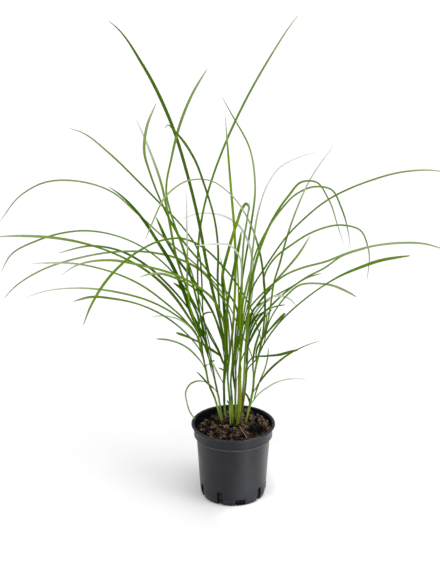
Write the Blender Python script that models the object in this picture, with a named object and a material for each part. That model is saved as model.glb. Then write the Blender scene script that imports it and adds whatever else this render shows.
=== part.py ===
"""Potted ornamental grass: a black nursery pot, its soil, ten shoots and their long arching leaves.

Metres, +Z up. The origin is the centre of the pot's underside, on the floor, and the clump is drawn
from its front, which looks along +Y.

A shoot or a leaf is drawn as a few points (across, up), in centimetres, on the upright drawing plane
through the pot's axis. A depth moves each point off that plane along the line of sight from EYE, so
that the clump spreads to all sides and keeps the same outline from the front.
"""

import math

import bmesh
import bpy
import numpy as np

CM = 0.01
GAP = 0.0003
EYE = np.array((-0.0205, -2.05, 1.1395))
UP = np.array((0.0, 0.0, 1.0))

# The pot: a 13 cm round nursery pot.
POT_HEIGHT = 0.120
POT_SIDES = 48
WALL = 0.0012
FLOOR_THICKNESS = 0.0016
LIP_RADIUS = 0.065
LIP_HEIGHT = 0.0028
BAND_TOP_RADIUS = 0.0616
BAND_FOOT_RADIUS = 0.0605
BAND_HEIGHT = 0.0190
STEP_HEIGHT = 0.0025
SHOULDER_RADIUS = 0.0570
HEEL_RADIUS = 0.0508
HEEL_HEIGHT = 0.008
FOOT_RADIUS = 0.0492

# The drain openings round the foot: width, height and the angles from the front, towards +X. The slots
# and the peep are open to the floor, and the window is over the pot's floor plate.
SLOT_WIDTH = 0.0084
SLOT_HEIGHT = 0.0232
SLOT_ANGLES = (-68, -24, 52, 80, 130, 182, 234)
WINDOW_WIDTH = 0.0162
WINDOW_FOOT = 0.0022
WINDOW_TOP = 0.0112
WINDOW_ANGLE = 13
PEEP_SIZE = 0.0030
PEEP_ANGLE = 5
OPENING_DEPTH = 0.009
BELOW = 0.01

# The soil: its level at the pot's axis, how it leans, and its hollow and mounds.
SOIL_LEVEL = 0.1085
SOIL_LEAN_ACROSS = 0.055
SOIL_LEAN_AWAY = 0.025
SOIL_SIDES = 40
SOIL_RINGS = 9
SOCKET_DEPTH = 0.018

# The shoots and leaves.
SHOOT_POINTS = 240
STEM_SIDES = 6
LEAF_SIDES = 4
LEAF_FOLD = 0.17
LEAF_THICKNESS = 0.0008
DEPTH_GROWTH = 1.7
DEPTH_LEAN = 0.08
FOOT_RUN = 0.3
BEND_SHARE = 0.06


# ---- meshes and materials


def material(name, colour, roughness):
    made = bpy.data.materials.new(name)
    made.use_nodes = True
    shader = made.node_tree.nodes["Principled BSDF"]
    shader.inputs["Base Color"].default_value = (*colour, 1.0)
    shader.inputs["Roughness"].default_value = roughness
    shader.inputs["Metallic"].default_value = 0.0
    made.diffuse_color = (*colour, 1.0)
    return made


def new_object(name, mesh, finish):
    mesh.materials.append(finish)
    obj = bpy.data.objects.new(name, mesh)
    bpy.context.scene.collection.objects.link(obj)
    return obj


def object_of(name, points, faces, finish):
    mesh = bpy.data.meshes.new(name)
    mesh.from_pydata([tuple(map(float, point)) for point in points], [], faces)
    work = bmesh.new()
    work.from_mesh(mesh)
    bmesh.ops.recalc_face_normals(work, faces=work.faces)
    work.to_mesh(mesh)
    work.free()
    return new_object(name, mesh, finish)


def helper(obj):
    """A cutter or a shape to be joined: not a part of its own."""
    obj.hide_render = True
    obj.display_type = "WIRE"
    return obj


def boolean(obj, other, operation):
    modifier = obj.modifiers.new(other.name, "BOOLEAN")
    modifier.operation = operation
    modifier.object = helper(other)


# ---- curves


def smooth(points, count):
    """`count` points on a smooth curve through the points given, closer together where it bends."""
    points = np.asarray(points, float)
    steps = np.linalg.norm(np.diff(points, axis=0), axis=1)
    knots = length_along(points)
    slopes = np.gradient(points, knots, axis=0)
    dense = []
    for i, step in enumerate(steps):
        t = np.linspace(0.0, 1.0, 24, endpoint=i == len(steps) - 1)[:, None]
        dense.append(
            (2 * t**3 - 3 * t**2 + 1) * points[i]
            + (t**3 - 2 * t**2 + t) * step * slopes[i]
            + (3 * t**2 - 2 * t**3) * points[i + 1]
            + (t**3 - t**2) * step * slopes[i + 1]
        )
    dense = np.concatenate(dense)
    sides = np.diff(dense, axis=0)
    lengths = np.linalg.norm(sides, axis=1)
    headings = sides / lengths[:, None]
    bends = np.linalg.norm(np.diff(headings, axis=0, append=headings[-1:]), axis=1)
    run = np.concatenate([[0.0], np.cumsum(lengths + BEND_SHARE * bends)])
    at = np.linspace(0.0, run[-1], count)
    return np.stack([np.interp(at, run, column) for column in dense.T], axis=1)


def length_along(path):
    """The length of the path up to each of its points."""
    return np.concatenate([[0.0], np.cumsum(np.linalg.norm(np.diff(path, axis=0), axis=1))])


def at_depth(across, up, depth):
    """The point that covers (across, up) of the drawing plane, `depth` behind it. Metres."""
    on_plane = np.array((across, 0.0, up))
    return EYE + (on_plane - EYE) * (depth - EYE[1]) / -EYE[1]


def unit(vector):
    return vector / np.linalg.norm(vector)


def ramp(value, start, end):
    """0 up to start, 1 from end, and a smooth rise between them. It takes numbers or arrays."""
    t = np.clip((value - start) / (end - start), 0.0, 1.0)
    return t * t * (3 - 2 * t)


def strand(name, path, heading, width, thickness, fold, twist, sides, finish):
    """A closed stem or leaf along path. The lists give each station's width, thickness, fold and twist.

    At twist 0 the upper face looks to the shoot where the leaf stands, and up where it lies over.
    """
    flat = unit(np.array((-heading[1], heading[0], 0.0)))
    tangents = np.gradient(path, axis=0)
    angles = [2 * math.pi * k / sides for k in range(sides)]
    points = []
    for i, centre in enumerate(path[:-1]):
        tangent = unit(tangents[i])
        across = unit(flat - tangent * flat.dot(tangent))
        upper = np.cross(tangent, across)
        turned = across * math.cos(twist[i]) + upper * math.sin(twist[i])
        upper = upper * math.cos(twist[i]) - across * math.sin(twist[i])
        for angle in angles:
            rise = thickness[i] / 2 * math.sin(angle) + fold[i] * width[i] * abs(math.cos(angle))
            points.append(centre + turned * width[i] / 2 * math.cos(angle) + upper * rise)
    faces = [tuple(range(sides))]
    rings = len(path) - 1
    for i in range(rings - 1):
        for k in range(sides):
            near, far = i * sides, (i + 1) * sides
            after = (k + 1) % sides
            corners = (near + k, near + after, far + after, far + k)
            # The under side's diagonals lie below the upper side's, so a twisted leaf keeps its thickness.
            if k >= sides // 2:
                corners = corners[1:] + corners[:1]
            faces += [corners[:3], (corners[0], *corners[2:])]
    points.append(path[-1])
    tip = len(points) - 1
    last = (rings - 1) * sides
    faces += [(last + k, last + (k + 1) % sides, tip) for k in range(sides)]
    return object_of(name, points, faces, finish)


# ---- the pot


def pot_profile():
    """Radius and height up the outside, over the lip and down the inside."""
    band_foot = POT_HEIGHT - BAND_HEIGHT
    step_foot = band_foot - STEP_HEIGHT
    lip_foot = POT_HEIGHT - LIP_HEIGHT
    return [
        (0.0, 0.0),
        (FOOT_RADIUS - 0.0012, 0.0),
        (FOOT_RADIUS, 0.0012),
        (HEEL_RADIUS, HEEL_HEIGHT),
        (SHOULDER_RADIUS, step_foot),
        (BAND_FOOT_RADIUS, band_foot),
        (BAND_TOP_RADIUS, lip_foot - 0.0004),
        (LIP_RADIUS - 0.0007, lip_foot),
        (LIP_RADIUS, POT_HEIGHT - LIP_HEIGHT / 2),
        (LIP_RADIUS - 0.0008, POT_HEIGHT),
        (BAND_TOP_RADIUS - WALL + 0.0006, POT_HEIGHT),
        (BAND_TOP_RADIUS - WALL, POT_HEIGHT - 0.0012),
        (BAND_FOOT_RADIUS - WALL, band_foot + 0.0006),
        (SHOULDER_RADIUS - WALL, step_foot + 0.0002),
        (FOOT_RADIUS - WALL, FLOOR_THICKNESS),
        (0.0, FLOOR_THICKNESS),
    ]


def inner_radius(height):
    """The pot's inner radius at a height."""
    wall = pot_profile()[:9:-1]
    return float(np.interp(height, [z for r, z in wall[1:]], [r for r, z in wall[1:]]))


def make_pot(finish):
    work = bmesh.new()
    corners = [work.verts.new((r, 0.0, z)) for r, z in pot_profile()]
    edges = [work.edges.new(pair) for pair in zip(corners, corners[1:])]
    bmesh.ops.spin(
        work,
        geom=corners + edges,
        cent=(0, 0, 0),
        axis=(0, 0, 1),
        angle=2 * math.pi,
        steps=POT_SIDES,
    )
    bmesh.ops.remove_doubles(work, verts=work.verts, dist=1e-6)
    bmesh.ops.recalc_face_normals(work, faces=work.faces)
    mesh = bpy.data.meshes.new("pot")
    work.to_mesh(mesh)
    work.free()
    pot = new_object("pot", mesh, finish)
    for i, angle in enumerate(SLOT_ANGLES):
        slot = opening(f"slot_{i + 1}", angle, SLOT_WIDTH, -BELOW, SLOT_HEIGHT, finish)
        boolean(pot, slot, "DIFFERENCE")
    window = opening("window", WINDOW_ANGLE, WINDOW_WIDTH, WINDOW_FOOT, WINDOW_TOP, finish)
    boolean(pot, window, "DIFFERENCE")
    boolean(pot, opening("peep", PEEP_ANGLE, PEEP_SIZE, -BELOW, PEEP_SIZE, finish), "DIFFERENCE")
    mesh.shade_smooth()
    mesh.set_sharp_from_angle(angle=math.radians(35))
    return pot


def opening(name, degrees, width, foot, top, finish):
    """A cutter for one drain opening, from foot to top through the wall, with its top corners cut."""
    inner = FOOT_RADIUS - OPENING_DEPTH
    outer = LIP_RADIUS
    corner = min(width, top - foot) * 0.22
    outline = [
        (-width / 2, foot),
        (width / 2, foot),
        (width / 2, top - corner),
        (width / 2 - corner, top),
        (corner - width / 2, top),
        (-width / 2, top - corner),
    ]
    angle = math.radians(degrees)
    out = np.array((math.sin(angle), -math.cos(angle), 0.0))
    side = np.array((math.cos(angle), math.sin(angle), 0.0))
    points = [out * radius + side * x + UP * z for radius in (inner, outer) for x, z in outline]
    count = len(outline)
    faces = [tuple(range(count)), tuple(range(count, 2 * count))]
    faces += [(k, (k + 1) % count, count + (k + 1) % count, count + k) for k in range(count)]
    return object_of(name, points, faces, finish)


# ---- the soil


def soil_top(x, y):
    """The height of the soil's surface: leaning up to the right and back, lumpy, with a hollow."""
    lumps = 0.0011 * math.sin(x * 310 + 1.3) * math.cos(y * 270 - 0.6)
    lumps += 0.0008 * math.sin(x * 520 - y * 430 + 0.4)
    lumps += 0.0006 * math.cos(x * 760 + y * 690)
    hollow = 0.0050 * math.exp(-(((x - 0.031) / 0.013) ** 2) - ((y + 0.004) / 0.015) ** 2)
    mound = 0.0022 * math.exp(-(((x - 0.002) / 0.022) ** 2) - ((y - 0.014) / 0.020) ** 2)
    return SOIL_LEVEL + SOIL_LEAN_ACROSS * x + SOIL_LEAN_AWAY * y + lumps + mound - hollow


def make_soil(finish):
    """The plug: a lumpy top, a side that follows the pot's inner wall and a flat base."""
    base = FLOOR_THICKNESS + GAP
    points = [(0.0, 0.0, soil_top(0.0, 0.0))]
    turns = [2 * math.pi * k / SOIL_SIDES for k in range(SOIL_SIDES)]
    facet = math.cos(math.pi / POT_SIDES)
    ledge_top, ledge_foot = pot_profile()[12][1], pot_profile()[13][1]
    reach = inner_radius(ledge_top) * facet - 2 * GAP
    for ring in range(1, SOIL_RINGS + 1):
        for turn in turns:
            radius = reach * (ring / SOIL_RINGS) ** 0.9
            x, y = radius * math.cos(turn), radius * math.sin(turn)
            points.append((x, y, soil_top(x, y)))
    for height in (ledge_top, ledge_foot, base):
        radius = inner_radius(height) * facet - 2 * GAP
        points += [(radius * math.cos(turn), radius * math.sin(turn), height) for turn in turns]
    points.append((0.0, 0.0, base))
    faces = [(0, 1 + k, 1 + (k + 1) % SOIL_SIDES) for k in range(SOIL_SIDES)]
    for ring in range(SOIL_RINGS + 2):
        for k in range(SOIL_SIDES):
            near = 1 + ring * SOIL_SIDES
            far = near + SOIL_SIDES
            after = (k + 1) % SOIL_SIDES
            faces.append((near + k, far + k, far + after, near + after))
    last = 1 + (SOIL_RINGS + 2) * SOIL_SIDES
    foot = len(points) - 1
    faces += [(last + k, foot, last + (k + 1) % SOIL_SIDES) for k in range(SOIL_SIDES)]
    return object_of("soil", points, faces, finish)


# ---- the shoots
#
# name: (foot depth, tip depth, stem width, leaf width, collar height, points), lengths in cm. The stem
# runs from the soil to its collar, and the innermost leaf goes on to the tip.

SHOOTS = {
    "left_outer": (2.5, -16.0, 0.46, 0.46, 21.0, [
        (-1.8, 12.2), (-2.25, 13.9), (-2.9, 16.3), (-3.8, 18.7), (-4.15, 20.7), (-4.5, 22.4), (-4.95, 24.2),
        (-5.9, 27.3), (-8.9, 30.1), (-12.3, 32.1), (-17.0, 33.6), (-24.0, 34.35), (-28.5, 33.8), (-32.3, 32.3),
    ]),
    "left_inner": (3.2, 9.0, 0.42, 0.54, 22.0, [
        (-1.65, 12.5), (-1.95, 14.2), (-2.2, 16.0), (-2.6, 18.0), (-2.95, 20.0), (-3.3, 22.0), (-4.1, 25.2),
        (-6.0, 29.3), (-7.7, 34.4), (-9.2, 38.0), (-11.3, 41.7), (-14.1, 46.1), (-16.5, 48.8), (-18.8, 50.6),
    ]),
    "left_back": (3.9, 15.1, 0.44, 0.42, 20.5, [
        (-1.2, 12.9), (-1.35, 14.5), (-1.42, 17.0), (-1.45, 19.0), (-1.4, 20.6), (-1.25, 23.0), (-1.2, 26.0),
        (-1.3, 29.0), (-1.5, 33.0), (-1.6, 37.0), (-1.1, 39.2), (-0.35, 42.1), (0.5, 44.9), (1.25, 47.0),
        (1.75, 47.6), (2.1, 47.3), (2.0, 45.8), (1.85, 44.2), (1.4, 41.5),
    ]),
    "middle_left": (1.2, 7.0, 0.44, 0.38, 19.0, [
        (-0.4, 11.3), (-0.45, 13.0), (-0.55, 16.0), (-0.75, 18.0), (-0.87, 20.0), (-0.72, 22.3), (-0.45, 24.5),
        (-0.15, 27.0), (0.1, 31.0), (0.25, 36.0), (0.1, 43.0), (-0.4, 49.0), (-1.0, 56.5), (-1.45, 62.5),
    ]),
    "middle_right": (1.7, 27.0, 0.40, 0.42, 20.0, [
        (-0.1, 11.7), (-0.12, 14.0), (-0.25, 16.5), (-0.4, 18.5), (-0.3, 20.5), (0.0, 22.6), (0.2, 25.0),
        (0.4, 28.0), (1.0, 33.5), (1.6, 38.1), (2.4, 43.5), (3.05, 50.4), (2.2, 56.0), (-0.4, 61.0), (-2.3, 64.5),
    ]),
    "yellow": (2.6, -7.0, 0.34, 0.34, 19.0, [
        (0.35, 12.2), (0.37, 14.0), (0.32, 16.0), (0.36, 18.0), (0.35, 20.0), (0.3, 22.0), (0.45, 25.0),
        (0.85, 30.0), (1.15, 34.0), (1.25, 38.0), (1.5, 42.0), (2.0, 45.8), (2.3, 48.6),
    ]),
    "broad": (0.9, -18.0, 0.62, 0.40, 19.5, [
        (0.55, 11.1), (0.78, 13.0), (0.93, 15.0), (0.98, 17.0), (0.95, 19.0), (1.0, 22.0), (1.1, 26.0),
        (1.6, 30.5), (2.4, 35.5), (2.8, 40.5), (3.7, 47.0), (4.9, 50.6), (6.6, 53.1), (9.0, 54.5), (13.0, 55.8),
    ]),
    "sheathed": (1.9, -21.0, 0.46, 0.48, 20.5, [
        (0.95, 12.0), (1.15, 13.7), (1.36, 15.6), (1.5, 17.3), (1.6, 19.0), (1.68, 21.0), (1.85, 24.5),
        (2.15, 29.0), (2.6, 35.0), (3.65, 39.8), (6.0, 45.7), (8.0, 48.8), (9.9, 50.9), (11.8, 50.9),
        (13.7, 48.4), (15.3, 44.0), (16.6, 40.3),
    ]),
    "right": (1.8, 15.0, 0.48, 0.46, 22.0, [
        (1.85, 11.7), (2.3, 13.8), (2.75, 16.0), (3.05, 18.0), (3.2, 20.0), (3.5, 21.8), (3.9, 23.8),
        (4.35, 26.3), (4.65, 29.5), (4.7, 33.0), (4.55, 36.2), (5.9, 38.9), (8.5, 41.2), (12.0, 43.4),
        (16.0, 44.3), (18.6, 43.5), (19.9, 40.6), (19.8, 34.4),
    ]),
    "back": (4.3, 19.0, 0.40, 0.46, 22.0, [
        (1.3, 13.3), (1.5, 15.0), (1.8, 17.5), (2.0, 20.0), (2.1, 22.0), (2.15, 24.5), (2.2, 28.0),
        (2.45, 33.0), (3.15, 39.5), (5.1, 43.9), (7.0, 46.8), (9.0, 49.0), (11.8, 50.2), (14.1, 49.8),
        (15.7, 47.0), (16.9, 43.0), (17.4, 39.0),
    ]),
}

# ---- the leaves
#
# shoot: {name: (height where it leaves, tip depth, width, points)}, lengths in cm. The points run from
# above the shoot to the tip.

LEAVES = {
    "left_outer": {
        "loop": (17.4, 0.6, 0.30, [
            (-4.0, 18.6), (-5.3, 19.05), (-6.5, 18.6), (-7.25, 17.3), (-7.1, 15.4), (-6.65, 13.8), (-5.75, 12.3),
        ]),
        "low_arch": (20.2, 7.0, 0.34, [
            (-4.7, 21.8), (-5.9, 23.5), (-7.0, 24.6), (-8.3, 25.4), (-10.0, 25.95), (-11.9, 26.1),
        ]),
        "low_long": (21.6, 17.0, 0.40, [
            (-5.15, 24.2), (-6.3, 25.9), (-9.0, 28.7), (-14.0, 31.6), (-18.0, 32.6), (-21.5, 32.9), (-24.4, 32.1),
        ]),
        "pale": (22.2, 15.0, 0.38, [
            (-4.95, 26.0), (-5.5, 30.2), (-7.0, 34.4), (-8.5, 39.3), (-9.6, 45.5), (-10.7, 51.0), (-12.0, 55.0),
            (-14.5, 61.4),
        ]),
        "fan": (23.4, -5.0, 0.46, [
            (-5.3, 26.0), (-7.0, 28.7), (-10.6, 32.3), (-14.0, 34.9), (-18.0, 36.8), (-23.0, 38.1), (-30.7, 38.3),
        ]),
        "faint": (21.4, 24.0, 0.28, [
            (-5.6, 26.6), (-7.0, 28.4), (-8.5, 29.4), (-11.0, 29.85), (-12.7, 29.6),
        ]),
        "yellow": (24.4, -14.0, 0.34, [
            (-5.5, 27.4), (-6.5, 31.0), (-6.95, 35.0), (-6.9, 40.0), (-6.95, 45.0), (-6.9, 50.0),
        ]),
    },
    "left_inner": {
        "right_tall": (19.4, 12.0, 0.50, [
            (-3.85, 24.3), (-4.45, 26.9), (-5.1, 31.0), (-5.4, 37.0), (-5.2, 42.0), (-4.3, 47.5), (-3.0, 52.0),
            (-1.1, 57.1), (1.6, 63.0), (5.0, 69.2), (8.0, 74.0), (9.6, 76.1),
        ]),
        "left_flat": (20.8, -14.0, 0.50, [
            (-4.9, 26.2), (-6.65, 29.4), (-9.45, 33.7), (-12.3, 36.6), (-16.0, 39.0), (-20.0, 40.8),
            (-25.0, 42.1), (-32.0, 42.6), (-36.0, 42.4),
        ]),
        "left_bow": (22.8, 30.0, 0.42, [
            (-5.0, 27.8), (-6.5, 30.6), (-9.8, 34.9), (-12.9, 37.9), (-17.0, 40.3), (-20.5, 41.0), (-26.5, 39.8),
        ]),
        "kinked": (24.0, -14.0, 0.46, [
            (-4.6, 28.3), (-5.45, 32.1), (-6.4, 36.1), (-8.0, 42.0), (-10.3, 46.9), (-12.2, 52.1), (-13.0, 55.3),
            (-12.6, 59.0), (-10.9, 63.2),
        ]),
        "left_lean": (25.4, -32.0, 0.44, [
            (-4.3, 28.3), (-4.9, 31.4), (-5.9, 35.6), (-7.4, 40.6), (-9.2, 46.0), (-9.85, 49.0), (-9.0, 54.8),
            (-7.65, 60.0), (-6.0, 64.0), (-3.5, 68.2),
        ]),
        "left_rise": (22.0, 13.5, 0.42, [
            (-3.9, 25.5), (-4.6, 29.0), (-4.75, 32.5), (-4.85, 36.5), (-5.3, 40.2), (-7.6, 44.0),
            (-11.0, 47.8), (-14.0, 51.05), (-18.0, 55.2), (-22.0, 58.4), (-24.5, 59.2),
        ]),
        "left_blunt": (27.2, 5.0, 0.50, [
            (-5.3, 29.5), (-6.1, 31.7), (-7.2, 33.5), (-8.2, 34.6), (-9.2, 35.3),
        ]),
    },
    "left_back": {
        "left_tall": (18.4, -4.0, 0.58, [
            (-1.2, 23.6), (-1.6, 26.3), (-2.3, 30.0), (-3.1, 33.4), (-4.1, 38.2), (-5.2, 44.6), (-6.6, 51.0),
            (-9.2, 60.0), (-13.0, 68.2), (-17.0, 73.9), (-18.4, 74.9),
        ]),
        "low_blunt": (21.0, -12.0, 0.40, [
            (-2.0, 23.3), (-3.1, 24.1), (-4.4, 25.0), (-6.4, 26.1), (-8.9, 27.2),
        ]),
        "left_arch": (21.8, 13.0, 0.46, [
            (-1.9, 23.9), (-3.1, 26.4), (-4.6, 29.4), (-6.5, 33.0), (-9.5, 37.3), (-14.0, 41.1), (-18.0, 42.8),
            (-22.0, 43.4), (-25.0, 43.1), (-29.0, 41.9), (-33.0, 39.7), (-35.0, 36.2),
        ]),
        "faint": (22.2, -4.0, 0.28, [
            (-2.2, 28.0), (-4.0, 31.9), (-6.3, 34.6), (-8.8, 36.0), (-10.5, 36.6), (-12.5, 36.6), (-14.4, 36.0),
        ]),
        "left_short": (24.4, 25.0, 0.38, [
            (-1.9, 26.9), (-2.95, 30.1), (-4.55, 33.1), (-6.3, 36.1), (-8.0, 38.5), (-9.7, 41.5), (-11.6, 45.9),
        ]),
    },
    "middle_left": {
        "hooked": (20.6, -24.0, 0.42, [
            (-1.3, 24.0), (-1.8, 27.0), (-2.1, 31.0), (-2.4, 35.5), (-2.35, 40.6), (-2.85, 45.0), (-4.2, 49.9),
            (-6.0, 54.8), (-8.3, 58.2), (-9.6, 59.4), (-10.2, 58.4),
        ]),
        "upright": (21.6, -15.0, 0.34, [
            (-0.95, 25.5), (-1.0, 30.0), (-0.65, 33.5), (-0.1, 36.5), (0.5, 40.0), (1.1, 43.6),
        ]),
        "left_front": (17.8, -17.0, 0.40, [
            (-1.2, 24.0), (-1.7, 29.5), (-3.2, 32.7), (-5.5, 34.7), (-8.5, 36.4), (-13.8, 38.0), (-18.5, 38.8),
            (-23.3, 38.0), (-26.3, 36.0),
        ]),
    },
    "middle_right": {
        "left_droop": (21.0, 20.0, 0.44, [
            (-0.1, 26.0), (-0.8, 30.8), (-2.8, 34.5), (-4.9, 37.1), (-8.0, 38.9), (-12.0, 39.95), (-17.0, 40.1),
            (-23.0, 39.1), (-29.0, 37.0), (-33.0, 34.3), (-35.0, 32.0),
        ]),
    },
    "yellow": {
        "front_low": (21.0, -20.0, 0.36, [
            (0.8, 26.0), (1.15, 32.0), (1.2, 36.0), (0.6, 39.8), (-0.6, 41.1), (-2.9, 41.3), (-5.8, 41.0),
        ]),
        "left_back": (21.6, 20.5, 0.40, [
            (0.5, 26.0), (0.75, 29.0), (0.1, 31.9), (-1.4, 34.1), (-3.3, 36.3), (-4.9, 38.4), (-6.8, 40.8),
            (-8.2, 42.8), (-9.3, 44.8), (-10.3, 47.0),
        ]),
        "right_low": (18.6, -2.0, 0.30, [
            (1.3, 22.8), (2.4, 25.3), (3.6, 27.8), (4.7, 29.6), (6.0, 31.2),
        ]),
        "right_high": (23.0, -3.0, 0.30, [
            (1.3, 28.0), (2.6, 30.2), (4.8, 33.3), (6.2, 35.0),
        ]),
        "inner_rise": (25.5, -7.0, 0.30, [
            (0.72, 29.5), (0.75, 32.4), (0.71, 35.0), (0.57, 37.2), (0.50, 38.7), (0.70, 40.3), (0.96, 41.8),
            (1.17, 43.8),
        ]),
    },
    "broad": {
        "far_arch": (19.4, 20.0, 0.42, [
            (1.3, 25.0), (2.1, 29.5), (2.8, 34.0), (2.85, 38.0), (2.2, 41.4), (0.6, 44.3), (-1.35, 45.6),
            (-4.35, 46.1), (-8.4, 45.1),
        ]),
        "right_rise": (21.0, -13.0, 0.48, [
            (1.3, 27.0), (2.0, 31.0), (3.1, 35.0), (4.5, 37.4), (5.95, 39.8), (7.9, 42.7), (10.0, 45.0),
            (13.7, 48.2), (17.0, 50.0), (20.0, 51.2), (24.0, 52.35), (28.0, 52.7), (33.0, 52.0),
        ]),
        "right_long": (24.4, 9.0, 0.44, [
            (1.6, 27.5), (2.4, 31.0), (4.0, 33.1), (6.0, 35.1), (8.0, 36.6), (10.4, 37.6), (13.6, 38.5),
            (17.2, 40.0), (20.7, 41.0), (24.9, 41.5), (28.0, 41.4), (32.0, 40.2),
        ]),
    },
    "sheathed": {
        "right_flat": (18.2, -9.0, 0.46, [
            (2.4, 21.4), (3.3, 22.4), (4.3, 24.6), (7.0, 28.8), (10.0, 31.9), (12.9, 34.3), (15.8, 36.2),
            (18.8, 37.6), (21.7, 38.7), (24.7, 39.3), (26.9, 39.6),
        ]),
        "right_lean": (22.0, -3.0, 0.38, [
            (2.3, 27.5), (3.0, 30.6), (4.6, 33.2), (6.3, 35.5), (7.6, 37.1), (9.5, 39.6), (11.4, 42.9),
        ]),
        "low_right": (19.4, -15.0, 0.44, [
            (2.0, 21.8), (2.9, 22.9), (5.0, 23.2), (7.0, 23.45), (8.6, 23.95), (10.2, 24.4),
        ]),
    },
    "right": {
        "long_left": (24.4, -26.0, 0.48, [
            (4.55, 28.0), (4.75, 31.5), (4.55, 35.0), (3.9, 39.6), (2.0, 45.3), (-0.5, 49.0), (-3.5, 51.1),
            (-6.8, 51.05), (-9.7, 49.0), (-12.0, 44.6), (-13.4, 41.2),
        ]),
        "crossing": (23.2, -24.0, 0.46, [
            (4.15, 25.8), (3.6, 28.0), (2.3, 31.7), (0.5, 34.9), (-1.8, 38.0), (-4.7, 40.9), (-7.6, 42.2),
            (-10.7, 41.9), (-14.0, 40.3), (-18.0, 36.8), (-21.5, 31.4), (-23.0, 27.5),
        ]),
        "pale_upright": (25.2, 16.0, 0.34, [
            (4.85, 27.8), (5.6, 32.0), (6.0, 35.0), (6.85, 38.2), (7.9, 42.6), (9.1, 46.5), (11.0, 51.2),
            (14.7, 57.0),
        ]),
        "left_long": (19.0, 30.0, 0.50, [
            (2.95, 22.8), (2.3, 24.7), (1.3, 26.8), (-0.6, 31.3), (-2.6, 34.8), (-5.6, 38.0), (-9.5, 41.5),
            (-14.1, 45.95), (-18.0, 49.5), (-22.0, 50.9), (-28.0, 50.7), (-31.0, 49.0), (-35.0, 44.0),
        ]),
        "blunt": (21.4, -7.0, 0.48, [
            (3.65, 24.6), (4.5, 26.2), (6.0, 28.2), (7.0, 29.4), (7.9, 30.5),
        ]),
        "low_rise": (16.6, -8.0, 0.44, [
            (3.9, 18.8), (5.3, 20.7), (7.0, 22.4), (9.0, 23.9), (11.0, 24.95), (13.6, 25.9),
        ]),
        "faint": (14.6, 8.0, 0.28, [
            (3.3, 16.3), (5.0, 17.8), (6.5, 18.8), (8.2, 19.35), (9.8, 19.45), (11.3, 19.3),
        ]),
        "right_droop": (23.0, 12.5, 0.36, [
            (4.7, 26.2), (5.2, 28.4), (6.5, 31.1), (8.0, 33.2), (9.8, 34.8), (12.6, 35.1), (14.7, 34.8),
            (16.8, 33.9), (18.8, 32.7),
        ]),
    },
    "back": {
        "upper_right": (21.6, 13.0, 0.38, [
            (2.2, 28.0), (3.2, 31.2), (4.8, 32.3), (6.3, 33.2), (8.7, 34.6), (11.0, 36.2), (13.4, 37.5),
            (16.0, 39.4), (20.0, 40.7),
        ]),
        "lower_right": (20.4, 24.0, 0.40, [
            (2.3, 26.0), (3.9, 29.7), (5.2, 31.0), (6.3, 32.2), (8.3, 34.1), (11.0, 36.0), (13.4, 36.8),
        ]),
        "right_short": (24.0, 14.0, 0.30, [
            (2.7, 28.2), (3.6, 29.8), (4.7, 30.6), (5.6, 31.1), (6.6, 31.45), (8.0, 31.7),
        ]),
        "little_arch": (22.8, 7.0, 0.28, [
            (2.6, 28.5), (3.4, 30.6), (4.6, 32.1), (5.9, 33.0), (7.3, 33.1), (8.5, 32.5), (9.6, 31.3),
        ]),
    },
}

# Small side leaves, grown on the stem itself. The entries are as in LEAVES.
SPURS = {
    "left_outer": [
        (21.0, -1.0, 0.28, [(-3.8, 21.7), (-3.35, 22.2), (-2.85, 22.6)]),
    ],
    "left_inner": [
        (16.9, 5.0, 0.34, [(-3.2, 17.9), (-4.0, 18.7), (-4.9, 19.8), (-5.7, 20.7)]),
        (25.6, 5.5, 0.26, [
            (-4.55, 27.6), (-4.7, 29.3), (-4.4, 30.2), (-3.9, 30.4), (-3.1, 30.3), (-2.7, 29.5), (-2.4, 28.4),
        ]),
    ],
    "left_back": [
        (18.2, 2.0, 0.28, [(-2.4, 20.4), (-2.9, 21.5), (-3.4, 22.4)]),
        (21.0, 0.5, 0.34, [(-2.2, 23.8), (-3.1, 25.5), (-3.6, 26.5), (-4.0, 27.6), (-4.5, 28.5)]),
        (29.5, 3.5, 0.26, [(-1.0, 32.0), (-1.27, 34.2), (-1.5, 36.0), (-1.8, 38.2), (-2.0, 39.4)]),
    ],
    "middle_left": [
        (14.6, 0.0, 0.30, [(-0.8, 15.2), (-0.9, 15.8)]),
        (20.0, -2.0, 0.30, [(-1.6, 20.9), (-2.3, 21.3)]),
        (22.6, 0.0, 0.28, [(-0.62, 24.8), (-0.67, 26.4), (-0.75, 28.2), (-0.8, 29.8)]),
    ],
    "yellow": [
        (16.6, 1.0, 0.36, [(0.13, 18.6), (-0.02, 20.1), (0.0, 21.4), (0.18, 22.8)]),
    ],
    "broad": [
        (26.0, -8.0, 0.32, [(1.25, 29.0), (1.45, 32.3), (1.75, 33.9), (2.07, 35.5), (2.79, 38.4)]),
    ],
    "sheathed": [
        (24.0, 2.0, 0.28, [(2.58, 26.0), (3.4, 27.9), (3.75, 28.5), (4.4, 29.6), (5.1, 30.6)]),
        (26.6, 1.5, 0.28, [(2.75, 28.9), (3.35, 29.8), (4.4, 31.3), (4.93, 32.1), (5.56, 32.5)]),
    ],
    "right": [
        (14.2, -1.5, 0.36, [(2.45, 15.7), (2.2, 16.4), (1.85, 16.95), (1.4, 17.4)]),
        (14.6, 5.0, 0.28, [(3.05, 15.7), (3.34, 16.7), (4.06, 19.0), (4.92, 21.4), (5.25, 23.2), (5.3, 24.9)]),
        (19.2, 1.0, 0.36, [(3.0, 21.6), (3.1, 23.4), (3.32, 24.8), (3.9, 27.1), (4.22, 28.3)]),
        (25.4, 3.5, 0.24, [(4.71, 27.4), (4.87, 28.4), (5.03, 29.8), (5.2, 30.7)]),
    ],
}


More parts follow.
